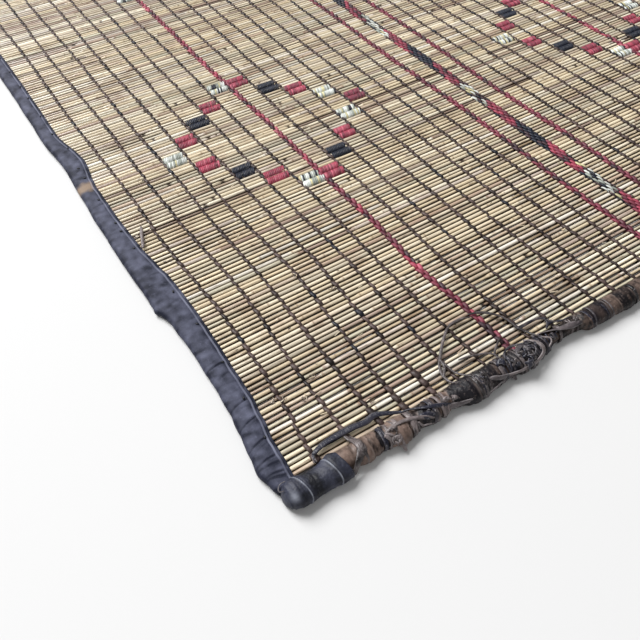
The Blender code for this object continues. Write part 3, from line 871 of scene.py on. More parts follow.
def band_rule(lots, aside, along, row):
    """Which dye a length of the band has, by the slanted repeat."""
    from_right = (BAND_HALF - aside) / (2 * BAND_HALF)
    place = ((along + SLANT_REACH * from_right - DYE_START) / DYE_REPEAT) % 1.0
    pick = lots.random()
    for share, dyes in BAND_SECTIONS:
        if place < share:
            break
        place -= share
    inner = abs(aside) < 0.003 or SPREAD_PART[0] < place / share < SPREAD_PART[1]
    dye = dyes[int(pick * len(dyes))] if inner else ("plum", "navy", "navy")[int(pick * 3)]
    if "chalk" in dyes:
        return dye_number(dye), lots.uniform(0.55, 1.10) if inner else 0.6
    return dye_number(dye), lots.uniform(0.9, 1.25) if inner else lots.uniform(0.65, 0.9)


band_rows = [(BAND_INDEX, aside, 1.0, 0.5 * (place % 2), band_rule) for place, aside in enumerate(BAND_ASIDES)]
centre_band = grow("centre_band", thong_lines("band_lines", band_rows, 8), TWINE, {"Finish": DYED_THONG, "Seed": 61, **narrow})

# %% [markdown]
# ## Coloured blocks
# Each block fills one space between two thongs and is four stems deep. It is two rows of
# short wraps, each round two stems. The blocks make open diamonds, charted here: for
# each line of the diamond, how far it lies from the middle in thong spacings, and which spaces
# beside the red row it fills, with their dyes.

# %% The chart and the wraps
RED = ("crimson", "crimson", "rose", "wine", "crimson", "wine")
DARK = ("wine", "deep_red", "wine", "wine")
BLUE = ("navy",)
WHITE = ("chalk", "chalk", "sage", "butter", "chalk", "sage", "chalk", "navy")
DIAMOND = (
    # from the middle, (space, dye), (space, dye)
    (3.70, (-1, WHITE), (0, RED)),
    (2.70, (-2, RED), (1, BLUE)),
    (1.80, (-3, BLUE), (2, RED)),
    (0.90, (-4, RED), (3, WHITE)),
    (0.00, (-5, WHITE), (4, DARK)),
    (-1.10, (-4, RED), (3, WHITE)),
    (-2.10, (-3, BLUE), (2, RED)),
    (-3.10, (-2, RED), (1, BLUE)),
    (-4.15, (-1, WHITE), (0, RED)),
)
DIAMOND_ALONG = 15.05 * WEFT_PITCH
WRAP_AXIS_Z = REED_AXIS_Z + 0.0002
WRAPS = 12


def wrap_points():
    """A point for each wrap, with its dye and its width."""
    lots = random.Random(23)
    points, dyes, widths = [], [], []
    for axis in (RED_NUMBERS[0], RED_NUMBERS[-1]):
        for middle in (DIAMOND_ALONG, 2 * HALF_LENGTH - DIAMOND_ALONG):
            for steps, *blocks in DIAMOND:
                start = round((middle + steps * WEFT_PITCH) / REED_PITCH) - 2
                for space, dye in blocks:
                    for row in (0, 1):
                        along = (start + 1 + 2 * row) * REED_PITCH
                        left = weft_x(axis + space, along) + lots.uniform(0.0003, 0.0018)
                        right = weft_x(axis + space + 1, along) - lots.uniform(0.0003, 0.0018)
                        width = (right - left) / WRAPS
                        for place in range(WRAPS):
                            points.append((left + width * (place + 0.5), along - HALF_LENGTH, WRAP_AXIS_Z))
                            dyes.append(dye_number(lots.choice(dye)))
                            widths.append(width * lots.uniform(0.72, 1.00))
    mesh = bpy.data.meshes.new("wrap_points")
    mesh.from_pydata(points, [], [])
    float_attribute(mesh, "dye", dyes)
    float_attribute(mesh, "width", widths)
    return mesh


graph, entry, leave = geometry_tree("wrap_two_stems", [
    ("Half length", FLOAT, 0.0040), ("Half height", FLOAT, 0.00225), ("Thickness", FLOAT, 0.0008),
    ("Lean", FLOAT, 0.34), ("Seed", WHOLE, 5), ("Finish", FINISH, None),
])
circle = graph.add("GeometryNodeCurvePrimitiveCircle", 8, 1.0)
spot = graph.split(graph.add("GeometryNodeInputPosition"))


def squarer(value):
    """Push a circle's coordinate towards a rounded rectangle."""
    return graph.math("MULTIPLY", graph.math("SIGN", value), graph.math("POWER", graph.math("ABSOLUTE", value), 0.72))


flat_loop = graph.vector(
    0.0, graph.math("MULTIPLY", squarer(spot["X"]), entry["Half length"]),
    graph.math("MULTIPLY", squarer(spot["Y"]), entry["Half height"]),
)
loop = graph.add("GeometryNodeSetPosition", circle, None, flat_loop)
loop = graph.add("GeometryNodeSetCurveNormal", loop, None, (1.0, 0.0, 0.0), mode="FREE")
section = graph.add("GeometryNodeCurvePrimitiveQuadrilateral", 1.0, entry["Thickness"])
loop = graph.add("GeometryNodeCurveToMesh", loop, section, 1.0, False)
index = graph.add("GeometryNodeInputIndex")
width = graph.add("GeometryNodeInputNamedAttribute", "width", data_type="FLOAT")
uneven = graph.add("FunctionNodeRandomValue", 0.85, 1.20, index, entry["Seed"], data_type="FLOAT")
turn = graph.add("FunctionNodeRandomValue", 0.9, 1.1, index, graph.math("ADD", entry["Seed"], 1), data_type="FLOAT")
turn = graph.vector(0.0, 0.0, graph.math("MULTIPLY", turn, graph.math("MULTIPLY", entry["Lean"], -1.0)))
tall = graph.add("FunctionNodeRandomValue", 0.95, 1.05, index, graph.math("ADD", entry["Seed"], 2), data_type="FLOAT")
tone = graph.add("FunctionNodeRandomValue", 0.0, 1.0, index, graph.math("ADD", entry["Seed"], 3), data_type="FLOAT")
spots = graph.add("GeometryNodeStoreNamedAttribute", entry["Geometry"], None, "tone", tone, data_type="FLOAT", domain="POINT")
wraps = graph.add(
    "GeometryNodeInstanceOnPoints", spots, None, loop, None, None, turn,
    graph.vector(graph.math("MULTIPLY", width, uneven), 1.0, tall),
)
wraps = graph.add("GeometryNodeRealizeInstances", wraps)
wraps = graph.add("GeometryNodeSetShadeSmooth", wraps, None, True)
graph.plug(leave, graph.add("GeometryNodeSetMaterial", wraps, None, entry["Finish"]))
colour_blocks = grow("colour_blocks", wrap_points(), graph.tree, {"Finish": DYED_THONG, "Seed": 5})

# %% [markdown]
# ## Skins over rings
# The leather edges have no simple rule: each has its own lumps and folds. They are skinned
# over a row of closed rings, and each ring point can be pushed in or out before that. A
# number for dye and one for wear go with each point, so the finish knows folds and ridges.

# %% Skinning rings
def skin(name, rings, finish, facts):
    """Close a row of equal rings into one mesh; facts hold a number for each point."""
    points = [point for ring in rings for point in ring]
    size = len(rings[0])
    faces = []
    for row in range(len(rings) - 1):
        for spot in range(size):
            after = (spot + 1) % size
            faces.append((row * size + spot, row * size + after, (row + 1) * size + after, (row + 1) * size + spot))
    faces.append(tuple(range(size)))
    faces.append(tuple(range((len(rings) - 1) * size, len(rings) * size)))
    mesh = bpy.data.meshes.new(name)
    mesh.from_pydata(points, [], faces)
    for label, values in facts.items():
        float_attribute(mesh, label, values)
    return close_mesh(name, mesh, finish)


def close_mesh(name, mesh, finish):
    """Turn all faces outwards, smooth them and make the piece."""
    bm = bmesh.new()
    bm.from_mesh(mesh)
    bmesh.ops.recalc_face_normals(bm, faces=bm.faces)
    bm.to_mesh(mesh)
    bm.free()
    mesh.materials.append(finish)
    mesh.shade_smooth()
    mesh.calc_loop_triangles()
    print(name, "has", len(mesh.loop_triangles), "triangles")
    return link_piece(name, mesh)


# %% [markdown]
# ## The indigo edge strips
# A strip of soft leather is folded round the stems' ends and stitched down. Its inner edge
# is turned under, which leaves a raised lip that is rubbed pale. Cross creases show where the
# leather was pulled round the bend, and they crowd near the corner. Painted shade darkens the
# creases, the fine folds, the ledge inside the lip and both edges of the strip. The left strip's edges
# come from the solid model's table, as does the nearly straight right one.

# %% Edge strips
LEATHER = 0.0010
STRIP_TOP = 0.0061
UNDER_REACH = 0.0022
STRIP_ROWS = (
    # along, outer, inner
    (0.000, -0.0164, -0.0016), (0.014, -0.0189, -0.0002), (0.026, -0.0168, 0.0006), (0.045, -0.0141, 0.0036),
    (0.063, -0.0117, 0.0062), (0.084, -0.0102, 0.0068), (0.115, -0.0094, 0.0084), (0.147, -0.0100, 0.0094),
    (0.166, -0.0144, 0.0092), (0.188, -0.0140, 0.0085), (0.205, -0.0147, 0.0062), (0.230, -0.0144, 0.0037),
    (0.270, -0.0136, 0.0026), (0.312, -0.0120, 0.0031), (0.355, -0.0100, 0.0080),
)
STRIP_TAIL = (-0.0120, 0.0018)
STRIP_TAIL_STEP = 0.048
CREASES = (
    # along at the inner edge, lean, depth, width
    (0.0010, 0.30, 0.0009, 0.0009), (0.0055, 0.10, 0.0010, 0.0008), (0.0114, 0.12, 0.0009, 0.0008),
    (0.0178, -0.10, 0.0009, 0.0007), (0.0317, -0.25, 0.0009, 0.0007), (0.0482, -0.28, 0.0009, 0.0007),
    (0.0560, 0.05, 0.0003, 0.0008), (0.0625, -0.20, 0.0008, 0.0007), (0.0770, 0.15, 0.0003, 0.0009),
    (0.0880, -0.30, 0.0003, 0.0009), (0.0960, -0.10, 0.0011, 0.0007), (0.1180, 0.20, 0.0002, 0.0012),
    (0.1420, -0.20, 0.0003, 0.0011), (0.1640, -0.30, 0.0004, 0.0011), (0.1940, 0.05, 0.0003, 0.0011),
    (0.2230, -0.15, 0.0003, 0.0012), (0.2490, 0.20, 0.0004, 0.0012), (0.2700, 0.10, 0.0002, 0.0014),
    (0.2900, -0.15, 0.0004, 0.0012), (0.3280, 0.20, 0.0006, 0.0012),
)
LUMP = (0.1631, 0.0011, 0.0022)
PATCH = (0.3165, -0.002, 0.0065, 0.017)
STATION_STEPS = (
    # up to, step
    (0.120, 0.0006), (0.360, 0.0012),
)
COARSE_STEP = 0.0030


def strip_table(side):
    """The edges of a strip from front to back."""
    rows = list(STRIP_ROWS) if side < 0 else [(0.0, *STRIP_TAIL)]
    along = rows[-1][0] + STRIP_TAIL_STEP
    while along < 2 * HALF_LENGTH - STRIP_TAIL_STEP / 2:
        drift = 0.0012 * math.sin(along * 17.0 + side)
        rows.append((along, STRIP_TAIL[0] + drift, STRIP_TAIL[1] + drift * 0.8))
        along += STRIP_TAIL_STEP
    rows.append((2 * HALF_LENGTH, *STRIP_TAIL))
    return rows


def strip_line(outer, inner):
    """The strip's section as (way in, height, part): under, fold, top, lip, ledge and lining."""
    radius = STRIP_TOP / 2
    line = [(UNDER_REACH - step * (UNDER_REACH - outer - radius) / 3, 0.0, "under") for step in range(3)]
    for step in range(9):
        angle = math.radians(-90 + 22.5 * step)
        line.append((outer + radius * (1 - math.cos(angle)), radius * (1 + math.sin(angle)), "fold"))
    start, stop = outer + radius, inner - 0.0038
    line += [(start + (stop - start) * step / 7, STRIP_TOP, "top") for step in range(1, 8)]
    for back, rise, part in (
        (0.0033, 0.0001, "lip"), (0.0029, 0.0007, "lip"), (0.0025, 0.0007, "lip"), (0.0022, 0.0001, "lip"),
        (0.0019, -0.0003, "ledge"), (0.0010, -0.0004, "ledge"), (0.0002, -0.0006, "ledge"), (0.0, -LEATHER, "lining"),
    ):
        line.append((inner - back, STRIP_TOP + rise, part))
    line.append((start, STRIP_TOP - LEATHER, "lining"))
    for angle in (60, 0, -60):
        turn = math.radians(angle)
        line.append((start - (radius - LEATHER) * math.cos(turn), radius + (radius - LEATHER) * math.sin(turn), "lining"))
    line += [(start, LEATHER, "lining"), (UNDER_REACH, LEATHER, "lining")]
    return line


def crease_depth(along, way_in, inner, side):
    """How far the skin sinks at a place, how much painted shade its creases and fine folds get, and how much it is
    rubbed beside.
    """
    depth, dark, rubbed = 0.0, 0.0, 0.0
    reach = inner - way_in + 0.0004 * math.sin(way_in * 900.0 + along * 70.0)
    if side < 0:
        for start, lean, deep, wide in CREASES:
            gap = (along - start - lean * reach - 12.0 * reach * (0.017 - reach)) / wide
            if abs(gap) < 5:
                fade = 1 - 0.7 * min(1.0, max(0.0, reach / 0.016))
                depth += fade * deep * (math.exp(-gap * gap) - 0.15 * math.exp(-(gap - 1.9) ** 2))
                # Painted shade along the bottom of each crease.
                dark += fade * deep * 1000 * math.exp(-gap * gap * 1.5)
                rubbed += fade * deep * 260 * math.exp(-(gap - 1.9) ** 2)
    # Fine folds sink a little and get some painted shade too.
    fine = abs(rough(way_in * 0.5, along, side, 70.0))
    fold = max(0.0, 0.10 - fine) / 0.10
    depth += 0.00008 * fold
    return depth, min(1.0, dark + 0.2 * fold), min(1.0, rubbed)


def strip_stations(side):
    """Places along a strip, closer together where its creases are."""
    places = [-0.004]
    while places[-1] < 2 * HALF_LENGTH + 0.004:
        steps = [step for limit, step in STATION_STEPS if side < 0 and places[-1] < limit]
        places.append(places[-1] + (steps[0] if steps else COARSE_STEP))
    return places


def edge_strip(name, side):
    """One strip, skinned over rings from front to back."""
    table = strip_table(side)
    rings, tones, worn, patches = [], [], [], []
    for along in strip_stations(side):
        outer, inner = read_table(table, along), read_table(table, along, 2)
        tuck = max(0.0, -along, along - 2 * HALF_LENGTH) / 0.004
        outer += 0.0014 * tuck + 0.00025 * rough(along, side, 0.0, 200.0) + 0.0005 * rough(along, side, 5.0, 45.0)
        inner += 0.00035 * rough(along, side, 9.0, 120.0) - 0.0010 * tuck
        ring = []
        for way_in, height, part in strip_line(outer, inner):
            across = min(1.0, max(0.0, (way_in - outer) / (inner - outer)))
            depth, dark, rubbed = crease_depth(along, way_in, inner, side)
            pad = 0.0
            if part in ("top", "fold"):
                pad = 0.0006 * math.sin(math.pi * across) + 0.00018 * rough(along, way_in, 2.0, 90.0)
                pad -= min(depth, 0.0012) * (0.3 if part == "fold" else 1.0)
                if side < 0 and way_in < outer + 0.0025:
                    way_in -= LUMP[1] * math.exp(-((along - LUMP[0]) / LUMP[2]) ** 2)
            if part == "fold":
                lift = (height - STRIP_TOP / 2) / (STRIP_TOP / 2)
                way_in -= pad * math.sqrt(max(0.0, 1 - lift * lift))
                height += pad * max(0.0, lift)
            elif part in ("top", "lip"):
                height += pad
            ring.append((side * (EDGE_X - way_in), along - HALF_LENGTH, max(0.0, height)))
            skin_part = part in ("top", "fold")
            tone = 0.24 + 0.45 * rough(along, way_in, side, 55.0) + 0.55 * rough(along, way_in, 8.0, 190.0)
            # Painted shade: darker towards both edges of the strip, in the creases and folds, and on the ledge inside
            # the lip.
            tone += 0.28 * math.sin(math.pi * across) - 0.9 * dark * skin_part - 0.10 * (part == "ledge")
            tones.append(min(1.3, max(-0.3, tone)))
            lip_wear = 0.8 * (part == "lip") * (0.60 + 0.9 * rough(along, 3.0, side, 60.0))
            worn.append(min(1.0, max(0.0, lip_wear + 0.55 * rubbed * skin_part)))
            distance = math.hypot((along - PATCH[0]) / PATCH[2], (way_in - PATCH[1]) / PATCH[3])
            patch = min(1.0, max(0.0, 1.6 - 1.3 * distance + 0.5 * rough(along, way_in, 7.0, 260.0)))
            patches.append(patch if side < 0 and part in ("top", "lip", "fold") else 0.0)
        rings.append(ring)
    return skin(name, rings, INDIGO_STRIP, {"tone": tones, "worn": worn, "second": patches})


strip_left = edge_strip("strip_left", -1)
strip_right = edge_strip("strip_right", 1)

# %% [markdown]
# ## Stitches along the strips
# The strip is held by short stitches of dark thong, seen as small black marks beside the lip.
# The left ones lie where they can be seen on the real strip, and the others at uneven steps.
# A tree copies one small bead onto each point.

# %% Stitches
STITCH_Z = STRIP_TOP + 0.0008
LEFT_STITCHES = (
    # along, way in
    (0.0316, -0.0030), (0.0636, 0.0004), (0.0962, 0.0030), (0.1350, 0.0040), (0.1714, 0.0036), (0.2282, -0.0016),
    (0.2515, -0.0020), (0.2627, -0.0018), (0.2961, -0.0022), (0.3287, -0.0012), (0.3438, -0.0008),
)
lots = random.Random(17)
stitch_points = [(-EDGE_X + way_in, along - HALF_LENGTH, STITCH_Z) for along, way_in in LEFT_STITCHES]
for side, first in ((-1, 0.376), (1, 0.030)):
    along = first
    table = strip_table(side)
    while along < 2 * HALF_LENGTH - 0.02:
        way_in = read_table(table, along, 2) - 0.0034
        stitch_points.append((side * (EDGE_X - way_in), along - HALF_LENGTH, STITCH_Z))
        along += lots.uniform(0.018, 0.036)
stitch_source = bpy.data.meshes.new("stitch_points")
stitch_source.from_pydata(stitch_points, [], [])
graph, entry, leave = geometry_tree("sew", [
    ("Length", FLOAT, 0.0013), ("Width", FLOAT, 0.0008), ("Height", FLOAT, 0.0004), ("Seed", WHOLE, 2), ("Finish", FINISH, None),
])
bead = graph.add("GeometryNodeMeshUVSphere", 8, 5, 1.0)
turn = graph.add("FunctionNodeRandomValue", (0.0, 0.0, -0.6), (0.0, 0.0, 0.9), None, entry["Seed"], data_type="FLOAT_VECTOR")
beads = graph.add(
    "GeometryNodeInstanceOnPoints", entry["Geometry"], None, bead, None, None, turn,
    graph.vector(entry["Width"], entry["Length"], entry["Height"]),
)
beads = graph.add("GeometryNodeRealizeInstances", beads)
beads = graph.add("GeometryNodeSetShadeSmooth", beads, None, True)
graph.plug(leave, graph.add("GeometryNodeSetMaterial", beads, None, entry["Finish"]))
stitches = grow("stitches", stitch_source, graph.tree, {"Finish": BLACK_SLEEVE, "Seed": 2})

# %% [markdown]
# ## The rolled edges
# The last stems in front and at the back are wound in brown leather. Each turn overlaps the
# one before, so the roll has small steps that run round it at a slant. The front roll is
# frayed: it has lumps where knots sit under the turns, taken from the solid model's table.

# %% Rolled edges
ROLL_SIZE = (0.0137, 0.0096)
EDGE_GAP = 0.0005
CAP_SPAN = (-0.0150, 0.0280)
LUMP_ROWS = (
    # along, width factor, height factor
    (0.000, 0.92, 1.08), (0.012, 1.06, 1.02), (0.028, 0.98, 0.92), (0.040, 1.20, 1.04), (0.054, 1.00, 0.94),
    (0.068, 1.06, 1.06), (0.082, 0.90, 0.88), (0.097, 1.26, 1.10), (0.113, 1.14, 0.98), (0.128, 1.02, 1.06),
    (0.140, 1.28, 1.14), (0.156, 0.98, 0.96), (0.172, 0.70, 0.86), (0.188, 0.64, 0.84),
)
LUMP_STEP = 0.0165
ROLL_START = -EDGE_X + CAP_SPAN[1]
ROLL_LENGTH = -2 * ROLL_START


def roll_table(side):
    """Width and height factors along a roll."""
    rows = list(LUMP_ROWS) if side < 0 else [(0.0, 1.0, 1.0)]
    along = rows[-1][0] + LUMP_STEP
    while along < ROLL_LENGTH - LUMP_STEP / 2:
        swell = 1 + 0.07 * math.sin(along * 61.0) + 0.05 * math.sin(along * 143.0 + side)
        rows.append((along, swell, 1 + (swell - 1) * 0.6))
        along += LUMP_STEP
    rows.append((ROLL_LENGTH, 1.0, 1.0))
    return rows


def roll_place(side, table, along, angle, proud=0.0):
    """A point on a roll's skin; angle 0 is the outer side and 90 degrees the top."""
    width = ROLL_SIZE[0] * read_table(table, along)
    height = ROLL_SIZE[1] * read_table(table, along, 2)
    centre = HALF_LENGTH + EDGE_GAP + width / 2
    y = centre + (width / 2 + proud) * math.cos(angle)
    z = height * 0.47 + (height * 0.53 + proud) * math.sin(angle)
    return Vector((ROLL_START + along, side * y, max(0.0, z)))


FRONT_WRAPS = (
    # where it starts, tone, how proud, how navy
    (-0.0040, 0.80, 0.0002, 0.0), (0.0085, 0.95, 0.0006, 0.0), (0.0190, 0.65, 0.0000, 0.0), (0.0260, 0.05, -0.0005, 0.6),
    (0.0315, 0.95, 0.0006, 0.0), (0.0470, 0.35, -0.0005, 0.2), (0.0560, 0.10, 0.0003, 0.7), (0.0660, 0.45, -0.0006, 0.2),
    (0.0740, 0.70, -0.0002, 0.0), (0.0815, 0.02, 0.0010, 1.0), (0.1005, 0.15, -0.0007, 0.5), (0.1085, 0.04, 0.0005, 1.0),
    (0.1195, 0.30, -0.0004, 0.3), (0.1290, 0.05, 0.0005, 0.8), (0.1400, 0.20, -0.0004, 0.5), (0.1510, 0.10, 0.0003, 0.8),
)


def wrap_table(side):
    """Where each wrap of leather starts, its tone and how proud it is."""
    rows = list(FRONT_WRAPS) if side < 0 else [(-0.004, 0.5, 0.0, 0.0)]
    lots = random.Random(31 + side)
    while rows[-1][0] < ROLL_LENGTH:
        start = rows[-1][0] + lots.uniform(0.007, 0.017)
        rows.append((start, lots.uniform(0.05, 0.75), lots.uniform(-0.0005, 0.0007), lots.choice((0.0, 0.0, 0.4, 0.9))))
    return rows


def wound_roll(name, side):
    """One roll: a row of slanted wraps of leather, each a little proud of the one before."""
    table, wraps = roll_table(side), wrap_table(side)
    rings, tones, worn, navy = [], [], [], []
    stations, sides = 620, 22
    for station in range(stations + 1):
        along = -0.003 + (ROLL_LENGTH + 0.006) * station / stations
        ring = []
        for spot in range(sides):
            angle = 2 * math.pi * spot / sides
            place = along + 0.0016 * math.sin(angle + 0.8) + 0.0012 * rough(along, angle * 0.01, side, 60.0)
            number = max(row for row, wrap in enumerate(wraps) if wrap[0] <= max(place, wraps[0][0]))
            start, tone, proud, blue = wraps[number]
            length = (wraps[number + 1][0] if number + 1 < len(wraps) else ROLL_LENGTH + 0.02) - start
            part = min(1.0, max(0.0, (place - start) / length))
            proud += 0.0007 * math.sin(math.pi * part) ** 0.5 + 0.0005 * rough(along * 2.2, angle * 0.002, side, 260.0)
            proud += 0.0004 * rough(along, angle * 0.004, side, 90.0)
            pleat = abs(rough(along * 1.6, angle * 0.0012, side + 2.0, 420.0))
            proud -= 0.0005 * max(0.0, 0.2 - pleat) / 0.2
            ring.append(roll_place(side, table, along, angle, proud))
            # Painted shade: the tone is darker in the pleats' hollows.
            tones.append(tone + 0.25 * rough(along, angle * 0.003, side, 220.0) - 0.3 * (pleat < 0.1))
            worn.append(max(0.0, 0.6 * max(0.0, part - 0.88) / 0.12 * (0.5 + 0.9 * rough(along, angle * 0.01, side, 200.0))))
            navy.append(min(1.0, max(0.0, blue + 0.5 * rough(along, angle * 0.003, side + 4.0, 150.0))))
        rings.append(ring)
    return skin(name, rings, ROLL_LEATHER, {"tone": tones, "worn": worn, "second": navy})


edge_roll_front = wound_roll("edge_roll_front", -1)
edge_roll_back = wound_roll("edge_roll_back", 1)

# %% [markdown]
# ## The corner sleeves
# Each corner is a short tube of black leather, pulled over the end of the roll and sewn shut
# at the corner. Two corded seams run round it and are rubbed pale, and the skin between them
# is creased where it was squeezed. All four share one rule with different noise.

# %% Corner sleeves
CAP_SIZE = (0.0187, 0.0125)
CAP_SWELL = 1.03
SLEEVE_ROWS = (
    # place, factor
    (0.00, 0.24), (0.015, 0.50), (0.045, 0.73), (0.10, 0.92), (0.18, 1.05), (0.28, 1.04), (0.42, 0.96),
    (0.58, 0.91), (0.72, 0.96), (0.84, 1.02), (0.97, 0.98), (1.00, 0.86),
)
SEAMS = ((0.27, 0.09), (0.75, 0.07))
SEAM_BOW = 0.050
SEAM_WIDTH = 0.0105
FLAP = (0.86, 0.12, 0.0045)


def corner_sleeve(name, side_x, side_y):
    """One corner sleeve along the roll."""
    near = HALF_LENGTH + EDGE_GAP + CAP_SIZE[0] * CAP_SWELL / 2
    seed = side_x * 2.0 + side_y * 5.0
    rings, tones, worn = [], [], []
    stations, sides = 120, 36
    for station in range(stations + 1):
        place = station / stations
        factor = read_table(SLEEVE_ROWS, place)
        ring = []
        for spot in range(sides):
            angle = 2 * math.pi * spot / sides
            proud, pale = 0.0, 0.0
            for seam, lean in SEAMS:
                gap = (place - seam - lean * math.cos(angle) * 0.5 - SEAM_BOW * math.sin(angle)) / SEAM_WIDTH
                proud += 0.0004 * math.exp(-gap * gap) - 0.0004 * math.exp(-(gap - 2.4) ** 2)
                pale += math.exp(-gap * gap * 1.5)
            fade = min(1.0, place * 8, (1 - place) * 12)
            proud += fade * 0.0006 * rough(place * 0.043, angle * 0.006, seed, 45.0)
            proud += fade * 0.00030 * rough(place * 0.043, angle * 0.005, seed + 9, 240.0)
            fold = abs(rough(place * 0.030, angle * 0.0050 + place * 0.030, seed + 3, 110.0))
            proud -= fade * 0.00025 * max(0.0, 0.08 - fold) / 0.08
            width = CAP_SIZE[0] * factor / 2 + proud
            height = CAP_SIZE[1] * factor / 2 + proud
            over = max(0.0, -math.cos(angle)) * max(0.0, math.sin(angle)) * math.exp(-((place - FLAP[0]) / FLAP[1]) ** 2)
            y = near + width * math.cos(angle) - FLAP[2] * over
            z = CAP_SIZE[1] * 0.47 * (0.35 + 0.65 * factor) + height * math.sin(angle)
            x = EDGE_X - CAP_SPAN[0] - place * (CAP_SPAN[1] - CAP_SPAN[0]) + 0.0012 * math.sin(angle + seed) * place
            ring.append((side_x * x, side_y * y, max(0.0, z)))
            tones.append(0.32 + 1.1 * rough(place * 0.04, angle * 0.003, seed, 90.0))
            # A painted highlight near the sleeve's rounded end, put into the worn mark with the pale seams.
            painted_highlight = math.exp(-((place - 0.12) / 0.05) ** 2 - ((angle - 1.1) / 0.35) ** 2)
            worn.append(min(1.0, pale * (0.70 + 0.5 * rough(angle * 0.01, seed, 0.0, 200.0)) + 0.6 * painted_highlight))
        rings.append(ring)
    return skin(name, rings, BLACK_SLEEVE, {"tone": tones, "worn": worn})


sleeves = []
for end, side_y in (("front", -1), ("back", 1)):
    for hand, side_x in (("left", -1), ("right", 1)):
        sleeves.append((corner_sleeve(f"sleeve_{end}_{hand}", side_x, side_y), f"cap_{end}_{hand}"))

# %% [markdown]
# ## Loose thongs on the frayed front edge
# Thong ends have come out of the front roll. Some lie on the stems, some are bent over the
# roll, and many short turns still hold on round it. Each is a flat strap that follows a smooth
# curve through a few points, gets thinner towards its ends and twists a little on its way.
# None is a free cord: they are scraps that lie where they were caught.

# %% Straps along curves
def smooth_path(points, steps):
    """Points along a smooth curve through the given ones."""
    ends = [points[0] * 2 - points[1], *points, points[-1] * 2 - points[-2]]
    path = []
    for before, start, stop, after in zip(ends, ends[1:], ends[2:], ends[3:]):
        for index in range(steps):
            t = index / steps
            pull = (stop - before) * t + (2 * before - 5 * start + 4 * stop - after) * t ** 2
            path.append(start + (pull + (3 * start - before - 3 * stop + after) * t ** 3) / 2)
    path.append(points[-1])
    return path


STRAP_SECTION = ((-1.0, 0.0), (-0.6, 0.9), (0.6, 1.0), (1.0, 0.0), (0.6, -0.9), (-0.6, -1.0))
SIDE_WEAR = (0.9, 0.1, 0.1, 0.9, 0.1, 0.1)


def add_strap(bm, layers, route, width, thickness, tone, twist=0.4, steps=4, outward=None, seed=0.0, wear=0.5, navy=0.0):
    """Add one strap to a mesh; outward gives the way its flat side faces.

    The width is one number, or one for each point of the route.
    """
    path = smooth_path([Vector(point) for point in route], steps)
    widths = width if isinstance(width, tuple) else (width,) * len(route)
    loops = []
    for index, point in enumerate(path):
        along = index / (len(path) - 1)
        place = along * (len(widths) - 1)
        low = min(int(place), len(widths) - 2)
        broad = widths[low] + (widths[low + 1] - widths[low]) * (place - low)
        run = (path[min(index + 1, len(path) - 1)] - path[max(index - 1, 0)]).normalized()
        face = outward(point) if outward else Vector((0.0, 0.0, 1.0))
        side = run.cross(face).normalized()
        up = side.cross(run).normalized()
        turn = twist * math.sin(along * 7.0 + seed)
        across = side * math.cos(turn) + up * math.sin(turn)
        thick = up * math.cos(turn) - side * math.sin(turn)
        ends = min(1.0, 0.45 + 4.0 * min(along, 1 - along))
        swell = ends * (1 + 0.22 * rough(along * 0.2, seed, 0.0, 18.0))
        ring = []
        for (u, v), edge in zip(STRAP_SECTION, SIDE_WEAR):
            spot = point + across * (u * broad / 2 * swell) + thick * (v * thickness / 2)
            spot.z = max(spot.z, 0.0001)
            vert = bm.verts.new(spot)
            vert[layers["tone"]] = tone + 0.2 * rough(along * 0.3, seed, 2.0, 25.0)
            vert[layers["worn"]] = max(0.0, wear * edge * (0.35 + 1.0 * rough(along * 0.3, seed, 6.0, 30.0)))
            vert[layers["second"]] = navy
            ring.append(vert)
        loops.append(ring)
    for near, far in zip(loops, loops[1:]):
        for index, vert in enumerate(near):
            after = (index + 1) % len(near)
            bm.faces.new((vert, near[after], far[after], far[index]))
    bm.faces.new(loops[0])
    bm.faces.new(loops[-1])


def strap_piece(name, straps, finish):
    """One mesh from many straps, each a dict of what add_strap takes."""
    bm = bmesh.new()
    layers = {label: bm.verts.layers.float.new(label) for label in ("tone", "worn", "second")}
    for strap in straps:
        add_strap(bm, layers, **strap)
    mesh = bpy.data.meshes.new(name)
    bm.to_mesh(mesh)
    bm.free()
    return close_mesh(name, mesh, finish)


# %% The loose ends that can be told apart
def from_corner(way_in, along, height):
    """A point by its way in from the left edge and along from the front."""
    return (-EDGE_X + way_in, along - HALF_LENGTH, height)


def lay_face(point):
    """The way out from what a strap lies on: up from the stems, or away from the front roll's axis."""
    if point.y > -HALF_LENGTH:
        return Vector((0.0, 0.0, 1.0))
    axis_y = -(HALF_LENGTH + EDGE_GAP + ROLL_SIZE[0] / 2)
    return Vector((0.0, point.y - axis_y, point.z - ROLL_SIZE[1] * 0.47)).normalized()


